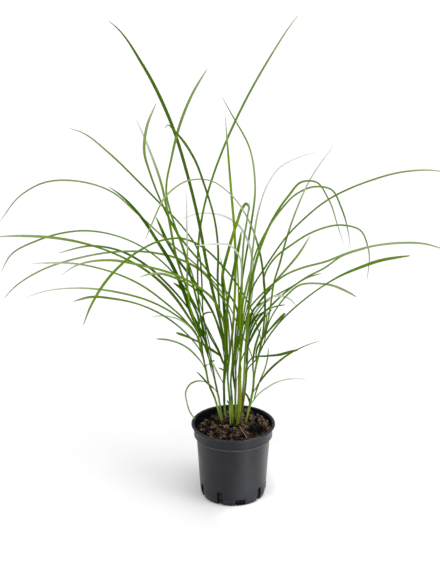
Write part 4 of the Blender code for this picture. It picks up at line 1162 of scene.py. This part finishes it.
# A blade's section, from its right edge over the upper side and back under it: place across, -1 to 1.
UPPER_SIDE = np.array((1.0, 0.68, 0.36, 0.1, -0.1, -0.36, -0.68, -1.0))
UNDER_SIDE = np.array((-0.9, -0.5, -0.14, 0.0, 0.14, 0.5, 0.9))
SECTION = np.concatenate([UPPER_SIDE, UNDER_SIDE])
ON_TOP = np.arange(len(SECTION)) < len(UPPER_SIDE)
BLADE_STATIONS = 46
# The leaf's solid has a station about every 3.6 cm, and leaves its shoot in the direction of the first.
SOLID_STEP = 3.6
# A leaf's width beside its solid's, and at its foot beside its middle, where it is full from this share on.
LEAF_WIDTH_SHARE = 0.96
LEAF_FOOT_WIDTH = 0.52
FULL_WIDTH_FROM = 0.4
LEAF_TIP_POWER = 11
# The shares of its length at which a leaf's shape is given.
SHAPE_PLACES = (0.25, 0.6, 0.92)
SHEATH_LENGTH = 0.020
SHEATH_STATIONS = 6
SHEATH_WRAP = 1.35
# The lengths from a leaf's foot over which it peels off its stem, turns its broad side to the front, starts
# to twist and loses its sheath's colour, and the size of its pale collar.
PEEL_RUN = 0.015
FACING_RUN = 0.035
TWIST_RUN = 0.05
SHEATH_COLOUR_RUN = 0.02
COLLAR_SIZE = 0.003
LEAF_TWIST = 30


def grow_leaf(plant, shoot, turn, waves, leaves_at, tip_depth, width, tone, shape, points):
    """One leaf: a sheath that clasps its shoot, which peels off it into a folded, pointed blade."""
    index, centre, along, half = shoot.at(leaves_at)
    start_on_plane = EYE + (centre - EYE) * -EYE[1] / (centre[1] - EYE[1])
    drawing = [[start_on_plane[0] / CM, start_on_plane[2] / CM], *points]
    drawn_length = np.linalg.norm(np.diff(drawing, axis=0), axis=1).sum()
    solid_stations = max(6, min(16, round(drawn_length / SOLID_STEP) + 3))
    solid_path = drawn(drawing, centre[1], tip_depth, solid_stations)
    path = drawn(drawing, centre[1], tip_depth, BLADE_STATIONS)
    heading = path[-1] - path[0]
    lean = solid_path[1] - solid_path[0]
    lean[1] += DEPTH_LEAN * (heading[1] - shoot.heading[1])
    side = unit(lean - along * lean.dot(along))
    run = length_along(path)
    share = run / run[-1]
    path += side * ((half + GAP + LEAF_THICKNESS) * (1 - ramp(share, 0.0, FOOT_RUN)))[:, None]
    broadened = LEAF_FOOT_WIDTH + (1 - LEAF_FOOT_WIDTH) * ramp(share, 0.0, FULL_WIDTH_FROM)
    widths = LEAF_WIDTH_SHARE * width * CM * broadened * (1 - share**LEAF_TIP_POWER)
    widths = widths * np.interp(share, SHAPE_PLACES, shape)
    widths = widths * (1 + waves * np.sin(share * 19 + 7 * turn + leaves_at))
    thickness = LEAF_THICKNESS * (1 - 0.65 * share)
    facing = FACING * ramp(run, 0.0, FACING_RUN)
    twist = turn * math.radians(LEAF_TWIST) * np.sin(share * 4.5 + leaves_at)
    twist = twist * ramp(run, 0.0, TWIST_RUN)
    shoot_green = shoot.greens([leaves_at * CM])[0]
    sheath_share = 0.7 * (1 - ramp(run, 0.0, SHEATH_COLOUR_RUN))
    greens = toward(blended(TONES[tone], share), shoot_green, sheath_share)
    greens = toward(greens, PALE, 0.45 * near(run, 0.0, COLLAR_SIZE))
    stations = frames(path, heading, facing, twist)
    beside = np.cross(along, side)
    beside = beside * (1 if beside.dot(stations[0][1]) > 0 else -1)
    stem_run = length_along(shoot.line)
    rings, tints, places = [], [], []

    def clasp(distance, wrap, lift):
        """The section wrapped round the shoot, `distance` along it from where the leaf leaves."""
        at = int(np.searchsorted(stem_run, stem_run[index] + distance))
        ring = []
        for place, top in zip(SECTION, ON_TOP):
            aim = side * math.cos(place * wrap) + beside * math.sin(place * wrap)
            ring.append(shoot.skin(at, aim, lift if top else lift + SHEATH_THICKNESS))
        return np.array(ring)

    for t in np.linspace(0.0, 1.0, SHEATH_STATIONS + 1)[:-1]:
        wrap = SHEATH_WRAP * (0.15 + 0.85 * t**0.6)
        rings.append(clasp(-SHEATH_LENGTH * (1 - t), wrap, 0.0002 * t - 0.00015))
        tints.append(np.tile(shoot_green, (len(SECTION), 1)))
        places.append(-SHEATH_LENGTH * (1 - t))
    for i, (centre, (tangent, turned, upper)) in enumerate(zip(path[:-1], stations)):
        thick = thickness[i] * (1 - 0.6 * np.abs(SECTION))
        rise = LEAF_FOLD * widths[i] * np.abs(SECTION) + np.where(ON_TOP, thick, -thick) / 2
        rise = rise - np.where(SECTION == 0, 0.035 * widths[i], 0)
        ring = centre + np.outer(widths[i] / 2 * SECTION, turned) + np.outer(rise, upper)
        peeled = ramp(run[i], 0.0, PEEL_RUN)
        if peeled < 1:
            ring = ring * peeled + clasp(run[i], SHEATH_WRAP, 0.00005) * (1 - peeled)
        rings.append(ring)
        tints.append(np.tile(greens[i], (len(SECTION), 1)))
        places.append(run[i])
    plant.add_rings(rings, tints, SECTION, places, ~ON_TOP)


def plant_finish(name, preview, roughness, vein_count):
    """Living grass: its own greens, fine veins along it, a pale midrib, a paler under side."""
    skin = Material(name, preview, roughness)
    tint = skin.attribute("tint", "Color")
    across, along, under = (skin.attribute(label) for label in ("across", "along", "under"))
    vein_sockets = {"X": across * vein_count, "Y": along * VEIN_SCALE, "Z": 0.0}
    vein_place = skin.node("ShaderNodeCombineXYZ", None, vein_sockets)
    veins = skin.node("ShaderNodeTexNoise", None, {"Vector": vein_place, "Scale": 1.0, "Detail": 2.0})
    veins = skin.clamped(veins, 0.38, 0.62)
    edge = abs(across)
    dark = skin.node("ShaderNodeMix", {"data_type": "RGBA", "blend_type": "MULTIPLY"},
                     {"Factor_Float": 1.0, "A_Color": tint, "B_Color": (0.55, 0.62, 0.55)}, "Result")
    pale = skin.node("ShaderNodeMix", {"data_type": "RGBA", "blend_type": "SCREEN"},
                     {"Factor_Float": 1.0, "A_Color": tint, "B_Color": (0.12, 0.14, 0.006)}, "Result")
    shade = skin.mix(0.55 * veins, tint, dark)
    shade = skin.mix(0.45 * skin.patches(70, 3, 0.45, 0.75), shade, pale)
    shade = skin.mix(0.30 * skin.patches(230, 2, 0.50, 0.75), shade, dark)
    rib = skin.clamped(edge, 0.16, 0.04)
    shade = skin.mix(0.55 * rib + 0.30 * skin.clamped(edge, 0.86, 1.0), shade, pale)
    skin.set(Base_Color=skin.mix(0.35 * under, shade, pale))
    skin.set(Roughness=roughness - 0.10 * veins + 0.12 * under, Specular_IOR_Level=PLANT_SPECULAR)
    skin.bump(veins + rib * 1.2, PLANT_GRAIN_DEPTH)
    return skin.material


stem_skin = plant_finish("stem_green_sheath", FRESH, 0.46, 5.5)
shoots = {name: Shoot(name, sizes, SHOOT_LOOKS[name]) for name, sizes in SHOOTS.items()}
for name, shoot in shoots.items():
    plant = Plant()
    shoot.grow(plant)
    for leaves_at, tip_depth, width, tone, points in SPURS.get(name, []):
        grow_leaf(plant, shoot, 1, 0.0, leaves_at, tip_depth, width, tone, (1.0, 1.0, 1.0), points)
    plant.grown("grass_shoot_" + name, stem_skin, "stem_green", "shoot_" + name)

# ---- the leaves
#
# The long blades that leave the shoots at their collars: folded along the midrib, 2 to 6 mm wide, fine at
# the tip, turning as they arch over. Young ones stay dark, and old ones fade from the tip.

EDGE_WAVES = 0.035

# shoot: {name: (height where it leaves, tip depth, width, tone, shape, points)}, lengths in cm, as for
# the shoots. The shape is how broad it is near its foot, at its middle and near its tip, beside its width.
LEAVES = {
    "left_outer": {
        "loop": (17.4, 0.6, 0.3, "pale", (1.0, 1.2, 1.4), [
            (-4.0, 18.6), (-5.3, 19.05), (-6.5, 18.6), (-7.25, 17.3), (-7.1, 15.4), (-6.65, 13.8),
            (-5.75, 12.3),
        ]),
        "low_arch": (20.2, 7.0, 0.34, "pale", (0.85, 0.8, 1.2), [
            (-4.7, 21.8), (-5.9, 23.5), (-7.0, 24.6), (-8.3, 25.4), (-10.0, 25.95), (-11.9, 26.1),
        ]),
        "low_long": (21.6, 17.0, 0.4, "soft", (0.85, 0.95, 1.3), [
            (-5.15, 24.2), (-6.3, 25.9), (-9.0, 28.7), (-14.0, 31.6), (-18.0, 32.6), (-21.5, 32.9),
            (-24.4, 32.1),
        ]),
        "pale": (22.2, 15.0, 0.38, "soft_fading", (1.0, 1.0, 1.3), [
            (-4.95, 26.0), (-5.5, 30.2), (-7.0, 34.4), (-8.5, 39.3), (-9.6, 45.5), (-10.7, 51.0),
            (-12.0, 55.0), (-14.5, 61.4),
        ]),
        "fan": (23.4, -5.0, 0.46, "soft_fading", (0.65, 0.8, 1.2), [
            (-5.3, 26.0), (-7.0, 28.7), (-10.6, 32.3), (-14.0, 34.9), (-18.0, 36.8), (-23.0, 38.1),
            (-30.7, 38.3),
        ]),
        "faint": (21.4, 24.0, 0.28, "faint", (0.9, 0.85, 1.0), [
            (-5.6, 26.6), (-7.0, 28.4), (-8.5, 29.4), (-11.0, 29.85), (-12.7, 29.6),
        ]),
        "yellow": (24.4, -14.0, 0.34, "lime_bleached", (1.0, 0.8, 0.7), [
            (-5.5, 27.4), (-6.5, 31.0), (-6.95, 35.0), (-6.9, 40.0), (-6.95, 45.0), (-6.9, 50.0),
        ]),
    },
    "left_inner": {
        "right_tall": (19.4, 12.0, 0.5, "soft", (0.65, 0.68, 1.0), [
            (-3.85, 24.3), (-4.45, 26.9), (-5.1, 31.0), (-5.4, 37.0), (-5.2, 42.0), (-4.3, 47.5),
            (-3.0, 52.0), (-1.1, 57.1), (1.6, 63.0), (5.0, 69.2), (8.0, 74.0), (9.6, 76.1),
        ]),
        "left_flat": (20.8, -14.0, 0.5, "deep_fading", (1.0, 0.55, 1.1), [
            (-4.9, 26.2), (-6.65, 29.4), (-9.45, 33.7), (-12.3, 36.6), (-16.0, 39.0), (-20.0, 40.8),
            (-25.0, 42.1), (-32.0, 42.6), (-36.0, 42.4),
        ]),
        "left_bow": (22.8, 30.0, 0.42, "deep_fading", (0.9, 0.9, 1.3), [
            (-5.0, 27.8), (-6.5, 30.6), (-9.8, 34.9), (-12.9, 37.9), (-17.0, 40.3), (-20.5, 41.0),
            (-26.5, 39.8),
        ]),
        "kinked": (24.0, -14.0, 0.46, "deep_fading", (0.85, 0.72, 1.15), [
            (-4.6, 28.3), (-5.45, 32.1), (-6.4, 36.1), (-8.0, 42.0), (-10.3, 46.9), (-12.2, 52.1),
            (-13.0, 55.3), (-12.6, 59.0), (-10.9, 63.2),
        ]),
        "left_lean": (25.4, -32.0, 0.44, "soft", (0.7, 0.7, 1.1), [
            (-4.3, 28.3), (-4.9, 31.4), (-5.9, 35.6), (-7.4, 40.6), (-9.2, 46.0), (-9.85, 49.0),
            (-9.0, 54.8), (-7.65, 60.0), (-6.0, 64.0), (-3.5, 68.2),
        ]),
        "left_rise": (22.0, 13.5, 0.42, "deep_fading", (0.85, 0.72, 0.85), [
            (-3.9, 25.5), (-4.6, 29.0), (-4.75, 32.5), (-4.85, 36.5), (-5.3, 40.2), (-7.6, 44.0),
            (-11.0, 47.8), (-14.0, 51.05), (-18.0, 55.2), (-22.0, 58.4), (-24.5, 59.2),
        ]),
        "left_blunt": (27.2, 5.0, 0.5, "deep", (0.8, 0.55, 1.1), [
            (-5.3, 29.5), (-6.1, 31.7), (-7.2, 33.5), (-8.2, 34.6), (-9.2, 35.3),
        ]),
    },
    "left_back": {
        "left_tall": (18.4, -4.0, 0.58, "deep", (1.15, 1.05, 0.8), [
            (-1.2, 23.6), (-1.6, 26.3), (-2.3, 30.0), (-3.1, 33.4), (-4.1, 38.2), (-5.2, 44.6),
            (-6.6, 51.0), (-9.2, 60.0), (-13.0, 68.2), (-17.0, 73.9), (-18.4, 74.9),
        ]),
        "low_blunt": (21.0, -12.0, 0.4, "deep", (1.3, 1.0, 1.5), [
            (-2.0, 23.3), (-3.1, 24.1), (-4.4, 25.0), (-6.4, 26.1), (-8.9, 27.2),
        ]),
        "left_arch": (21.8, 13.0, 0.46, "soft", (0.75, 0.65, 0.75), [
            (-1.9, 23.9), (-3.1, 26.4), (-4.6, 29.4), (-6.5, 33.0), (-9.5, 37.3), (-14.0, 41.1),
            (-18.0, 42.8), (-22.0, 43.4), (-25.0, 43.1), (-29.0, 41.9), (-33.0, 39.7), (-35.0, 36.2),
        ]),
        "faint": (22.2, -4.0, 0.28, "deep_fading", (1.0, 1.0, 1.8), [
            (-2.2, 28.0), (-4.0, 31.9), (-6.3, 34.6), (-8.8, 36.0), (-10.5, 36.6), (-12.5, 36.6),
            (-14.4, 36.0),
        ]),
        "left_short": (24.4, 25.0, 0.38, "deep", (1.2, 1.1, 1.6), [
            (-1.9, 26.9), (-2.95, 30.1), (-4.55, 33.1), (-6.3, 36.1), (-8.0, 38.5), (-9.7, 41.5),
            (-11.6, 45.9),
        ]),
    },
    "middle_left": {
        "hooked": (20.6, -24.0, 0.42, "deep", (0.85, 0.8, 1.2), [
            (-1.3, 24.0), (-1.8, 27.0), (-2.1, 31.0), (-2.4, 35.5), (-2.35, 40.6), (-2.85, 45.0),
            (-4.2, 49.9), (-6.0, 54.8), (-8.3, 58.2), (-9.6, 59.4), (-10.2, 58.4),
        ]),
        "upright": (21.6, -15.0, 0.34, "deep", (1.4, 1.28, 1.1), [
            (-0.95, 25.5), (-1.0, 30.0), (-0.65, 33.5), (-0.1, 36.5), (0.5, 40.0), (1.1, 43.6),
        ]),
        "left_front": (17.8, -17.0, 0.4, "soft", (1.0, 0.9, 1.0), [
            (-1.2, 24.0), (-1.7, 29.5), (-3.2, 32.7), (-5.5, 34.7), (-8.5, 36.4), (-13.8, 38.0),
            (-18.5, 38.8), (-23.3, 38.0), (-26.3, 36.0),
        ]),
    },
    "middle_right": {
        "left_droop": (21.0, 20.0, 0.44, "pale", (0.9, 1.0, 0.8), [
            (-0.1, 26.0), (-0.8, 30.8), (-2.8, 34.5), (-4.9, 37.1), (-8.0, 38.9), (-12.0, 39.95),
            (-17.0, 40.1), (-23.0, 39.1), (-29.0, 37.0), (-33.0, 34.3), (-35.0, 32.0),
        ]),
    },
    "yellow": {
        "front_low": (21.0, -20.0, 0.36, "lime_bleached", (0.9, 0.85, 1.0), [
            (0.8, 26.0), (1.15, 32.0), (1.2, 36.0), (0.6, 39.8), (-0.6, 41.1), (-2.9, 41.3), (-5.8, 41.0),
        ]),
        "left_back": (21.6, 20.5, 0.4, "green", (0.9, 0.85, 1.0), [
            (0.5, 26.0), (0.75, 29.0), (0.1, 31.9), (-1.4, 34.1), (-3.3, 36.3), (-4.9, 38.4), (-6.8, 40.8),
            (-8.2, 42.8), (-9.3, 44.8), (-10.3, 47.0),
        ]),
        "right_low": (18.6, -2.0, 0.3, "deep", (0.9, 0.85, 1.0), [
            (1.3, 22.8), (2.4, 25.3), (3.6, 27.8), (4.7, 29.6), (6.0, 31.2),
        ]),
        "right_high": (23.0, -3.0, 0.3, "deep", (0.9, 0.85, 1.0), [
            (1.3, 28.0), (2.6, 30.2), (4.8, 33.3), (6.2, 35.0),
        ]),
        "inner_rise": (25.5, -7.0, 0.3, "lime", (0.9, 0.85, 1.0), [
            (0.72, 29.5), (0.75, 32.4), (0.71, 35.0), (0.57, 37.2), (0.5, 38.7), (0.7, 40.3), (0.96, 41.8),
            (1.17, 43.8),
        ]),
    },
    "broad": {
        "far_arch": (19.4, 20.0, 0.42, "faint", (1.0, 0.9, 0.9), [
            (1.3, 25.0), (2.1, 29.5), (2.8, 34.0), (2.85, 38.0), (2.2, 41.4), (0.6, 44.3), (-1.35, 45.6),
            (-4.35, 46.1), (-8.4, 45.1),
        ]),
        "right_rise": (21.0, -13.0, 0.48, "deep_fading", (0.58, 0.5, 0.7), [
            (1.3, 27.0), (2.0, 31.0), (3.1, 35.0), (4.5, 37.4), (5.95, 39.8), (7.9, 42.7), (10.0, 45.0),
            (13.7, 48.2), (17.0, 50.0), (20.0, 51.2), (24.0, 52.35), (28.0, 52.7), (33.0, 52.0),
        ]),
        "right_long": (24.4, 9.0, 0.44, "pale", (0.85, 1.0, 0.9), [
            (1.6, 27.5), (2.4, 31.0), (4.0, 33.1), (6.0, 35.1), (8.0, 36.6), (10.4, 37.6), (13.6, 38.5),
            (17.2, 40.0), (20.7, 41.0), (24.9, 41.5), (28.0, 41.4), (32.0, 40.2),
        ]),
    },
    "sheathed": {
        "right_flat": (18.2, -9.0, 0.46, "green", (0.75, 0.75, 1.5), [
            (2.4, 21.4), (3.3, 22.4), (4.3, 24.6), (7.0, 28.8), (10.0, 31.9), (12.9, 34.3), (15.8, 36.2),
            (18.8, 37.6), (21.7, 38.7), (24.7, 39.3), (26.9, 39.6),
        ]),
        "right_lean": (22.0, -3.0, 0.38, "deep_fading", (0.9, 0.75, 1.2), [
            (2.3, 27.5), (3.0, 30.6), (4.6, 33.2), (6.3, 35.5), (7.6, 37.1), (9.5, 39.6), (11.4, 42.9),
        ]),
        "low_right": (19.4, -15.0, 0.44, "deep", (0.85, 0.95, 1.0), [
            (2.0, 21.8), (2.9, 22.9), (5.0, 23.2), (7.0, 23.45), (8.6, 23.95), (10.2, 24.4),
        ]),
    },
    "right": {
        "long_left": (24.4, -26.0, 0.48, "pale_top", (0.9, 0.45, 0.8), [
            (4.55, 28.0), (4.75, 31.5), (4.55, 35.0), (3.9, 39.6), (2.0, 45.3), (-0.5, 49.0), (-3.5, 51.1),
            (-6.8, 51.05), (-9.7, 49.0), (-12.0, 44.6), (-13.4, 41.2),
        ]),
        "crossing": (23.2, -24.0, 0.46, "green", (0.75, 0.6, 1.1), [
            (4.15, 25.8), (3.6, 28.0), (2.3, 31.7), (0.5, 34.9), (-1.8, 38.0), (-4.7, 40.9), (-7.6, 42.2),
            (-10.7, 41.9), (-14.0, 40.3), (-18.0, 36.8), (-21.5, 31.4), (-23.0, 27.5),
        ]),
        "pale_upright": (25.2, 16.0, 0.34, "lime_fading", (1.3, 0.9, 0.6), [
            (4.85, 27.8), (5.6, 32.0), (6.0, 35.0), (6.85, 38.2), (7.9, 42.6), (9.1, 46.5), (11.0, 51.2),
            (14.7, 57.0),
        ]),
        "left_long": (19.0, 30.0, 0.5, "pale", (0.7, 0.6, 0.6), [
            (2.95, 22.8), (2.3, 24.7), (1.3, 26.8), (-0.6, 31.3), (-2.6, 34.8), (-5.6, 38.0), (-9.5, 41.5),
            (-14.1, 45.95), (-18.0, 49.5), (-22.0, 50.9), (-28.0, 50.7), (-31.0, 49.0), (-35.0, 44.0),
        ]),
        "blunt": (21.4, -7.0, 0.48, "deep", (0.85, 0.8, 1.3), [
            (3.65, 24.6), (4.5, 26.2), (6.0, 28.2), (7.0, 29.4), (7.9, 30.5),
        ]),
        "low_rise": (16.6, -8.0, 0.44, "deep_fading", (0.95, 0.62, 0.5), [
            (3.9, 18.8), (5.3, 20.7), (7.0, 22.4), (9.0, 23.9), (11.0, 24.95), (13.6, 25.9),
        ]),
        "faint": (14.6, 8.0, 0.28, "faint", (1.0, 0.8, 0.9), [
            (3.3, 16.3), (5.0, 17.8), (6.5, 18.8), (8.2, 19.35), (9.8, 19.45), (11.3, 19.3),
        ]),
        "right_droop": (23.0, 12.5, 0.36, "pale", (0.8, 0.85, 1.4), [
            (4.7, 26.2), (5.2, 28.4), (6.5, 31.1), (8.0, 33.2), (9.8, 34.8), (12.6, 35.1), (14.7, 34.8),
            (16.8, 33.9), (18.8, 32.7),
        ]),
    },
    "back": {
        "upper_right": (21.6, 13.0, 0.38, "soft", (0.8, 0.65, 0.95), [
            (2.2, 28.0), (3.2, 31.2), (4.8, 32.3), (6.3, 33.2), (8.7, 34.6), (11.0, 36.2), (13.4, 37.5),
            (16.0, 39.4), (20.0, 40.7),
        ]),
        "lower_right": (20.4, 24.0, 0.4, "green", (0.9, 0.85, 1.0), [
            (2.3, 26.0), (3.9, 29.7), (5.2, 31.0), (6.3, 32.2), (8.3, 34.1), (11.0, 36.0), (13.4, 36.8),
        ]),
        "right_short": (24.0, 14.0, 0.3, "deep", (0.9, 0.85, 1.0), [
            (2.7, 28.2), (3.6, 29.8), (4.7, 30.6), (5.6, 31.1), (6.6, 31.45), (8.0, 31.7),
        ]),
        "little_arch": (22.8, 7.0, 0.28, "faint", (1.1, 1.2, 1.4), [
            (2.6, 28.5), (3.4, 30.6), (4.6, 32.1), (5.9, 33.0), (7.3, 33.1), (8.5, 32.5), (9.6, 31.3),
        ]),
    },
}

leaf_skin = plant_finish("leaf_green_blade", GREEN, 0.44, 7.5)
turn = 1
for shoot_name, leaves in LEAVES.items():
    for leaf_name, drawing in leaves.items():
        turn = -turn
        name = f"{shoot_name}_{leaf_name}"
        plant = Plant()
        grow_leaf(plant, shoots[shoot_name], turn, EDGE_WAVES, *drawing)
        plant.grown("grass_leaf_" + name, leaf_skin, "leaf_green", "leaf_" + name)

# ---- the dry stalk
#
# A bare stalk of last year's grass, about as thick as a thick needle, dried pale. It fell on the soil
# and lies from beside the shoots to the front.

STRAW_ENDS = [(0.0100, 0.0040), (0.0135, -0.0090), (0.0175, -0.0230), (0.0210, -0.0360)]
STRAW_RADIUS = 0.0007
STRAW_LIFT = 0.0012
STRAW_SIDES = 12
STRAW_STATIONS = 40
STRAW_RIDGES = 5
STRAW_JOINT = 0.55
STRAW_STRETCH = (2600, 300, 2600)
STRAW_GRAIN_DEPTH = 0.00006
STRAW_TAN = (0.45, 0.33, 0.21)
STRAW_BROWN = (0.19, 0.115, 0.065)

level = max(float(soil_top(x, y)) for x, y in STRAW_ENDS) + STRAW_RADIUS + STRAW_LIFT
line = smooth([(x, y, level) for x, y in STRAW_ENDS], STRAW_STATIONS)
share = length_along(line) / length_along(line)[-1]
radii = STRAW_RADIUS * (1.0 - 0.35 * share + 0.22 * near(share, STRAW_JOINT, 0.02))
darkened = np.minimum(near(share, STRAW_JOINT, 0.03) + 0.7 * near(share, 0.0, 0.06), 1)
angles = np.arange(STRAW_SIDES) * 2 * math.pi / STRAW_SIDES
rings, tints = [], []
for i, (tangent, across, upper) in enumerate(frames(line, line[-1] - line[0])):
    grooved = radii[i] * (1 + 0.06 * np.cos(STRAW_RIDGES * angles))
    round_line = np.outer(grooved * np.cos(angles), across) + np.outer(grooved * np.sin(angles), upper)
    rings.append(line[i] + round_line)
    tints.append(np.tile(np.array(STRAW_TAN) * (1 - 0.6 * darkened[i]), (STRAW_SIDES, 1)))
plant = Plant()
plant.add_rings(rings, tints, np.cos(angles), length_along(line), np.zeros(STRAW_SIDES))
stalk = Material("dry_straw_stalk", STRAW_TAN, 0.7)
tint = stalk.attribute("tint", "Color")
fibres = stalk.noise(1, 3, STRAW_STRETCH)
stalk.set(Base_Color=stalk.mix(0.6 * stalk.clamped(fibres, 0.4, 0.65), tint, STRAW_BROWN))
stalk.set(Roughness=0.72 - 0.12 * fibres, Specular_IOR_Level=0.3)
stalk.bump(fibres, STRAW_GRAIN_DEPTH)
plant.grown("dry_stalk", stalk.material, "dry_straw", "straw")

# ---- the studio
#
# A seamless white floor and even light from all sides, a little brighter low down. One large soft lamp
# stands to the right of the camera and one hangs nearly overhead. Two small strips stand by the pot.

FLOOR_SIZE = 300.0
FLOOR_DROP = 0.0003
FLOOR_WHITE = (0.94, 0.94, 0.94)
EVEN_LIGHT = 0.42
HORIZON_LIGHT = 1.07
# The rise of a direction, as a share of its length, where the horizon's light starts to fall and where it
# has fallen to the even light.
HORIZON_RISE = (0.02, 0.12)
# Each large lamp: its strength, its spread, its height and its turn from +X, in degrees.
LARGE_LAMPS = {"key_lamp": (0.74, 32.0, 44.0, -26.0), "fill_lamp": (1.77, 60.0, 82.0, -100.0)}
# Two low strip lamps light the floor in front of the pot and beside it, which its wall reflects.
# Each: its place, its size, its turn and spread in degrees, and its power.
STRIP_LAMPS = {
    "front_strip": ((0.092, -0.129, 0.12), (0.20, 0.07), -48.0, 45.0, 0.072),
    "side_strip": ((0.150, 0.010, 0.12), (0.16, 0.24), 0.0, 50.0, 0.065),
}
CAMERA_PITCH = 21.45
CAMERA_LENS = 90.0
CAMERA_SENSOR = 36.0
CAMERA_REACH = 400.0

half = FLOOR_SIZE / 2
corners = [(-half, -half, 0), (half, -half, 0), (half, half, 0), (-half, half, 0)]
floor = bpy.data.meshes.new("studio_floor")
floor.from_pydata(corners, [], [(0, 1, 2, 3)])
floor = add_object("studio_floor", floor)
floor.location.z = -FLOOR_DROP
paper = Material("floor_paper", FLOOR_WHITE, 0.9)
paper.set(Base_Color=FLOOR_WHITE, Specular_IOR_Level=0.0)
floor.data.materials.append(paper.material)

world = bpy.data.worlds.new("studio")
world.use_nodes = True
sky = Nodes(world.node_tree)
aim = sky.node("ShaderNodeNewGeometry", None, None, "Position")
risen = sky.clamped(sky.part(aim, "Z"), *HORIZON_RISE)
strength = HORIZON_LIGHT + risen * (EVEN_LIGHT - HORIZON_LIGHT)
light_sockets = {"Color": (1.0, 1.0, 1.0), "Strength": strength}
light = sky.node("ShaderNodeBackground", None, light_sockets)
sky.put(sky.add("ShaderNodeOutputWorld").inputs["Surface"], light)
bpy.context.scene.world = world

for name, (power, spread, height, turn) in LARGE_LAMPS.items():
    lamp = bpy.data.lights.new(name, "SUN")
    lamp.energy = power
    lamp.angle = math.radians(spread)
    add_object(name, lamp).rotation_euler = (0.0, math.radians(90.0 - height), math.radians(turn))
for name, (place, size, turn, spread, power) in STRIP_LAMPS.items():
    lamp = bpy.data.lights.new(name, "AREA")
    lamp.shape = "RECTANGLE"
    lamp.size, lamp.size_y = size
    lamp.spread = math.radians(spread)
    lamp.energy = power
    lamp = add_object(name, lamp)
    lamp.location = place
    lamp.rotation_euler = (0.0, 0.0, math.radians(turn))

camera = bpy.data.cameras.new("camera")
camera.lens = CAMERA_LENS
camera.sensor_width = CAMERA_SENSOR
camera.clip_end = CAMERA_REACH
camera = add_object("camera", camera)
camera.location = EYE
camera.rotation_euler = (math.radians(90 - CAMERA_PITCH), 0.0, 0.0)
bpy.context.scene.camera = camera
bpy.context.scene.view_settings.view_transform = "Standard"

bpy.context.view_layer.update()
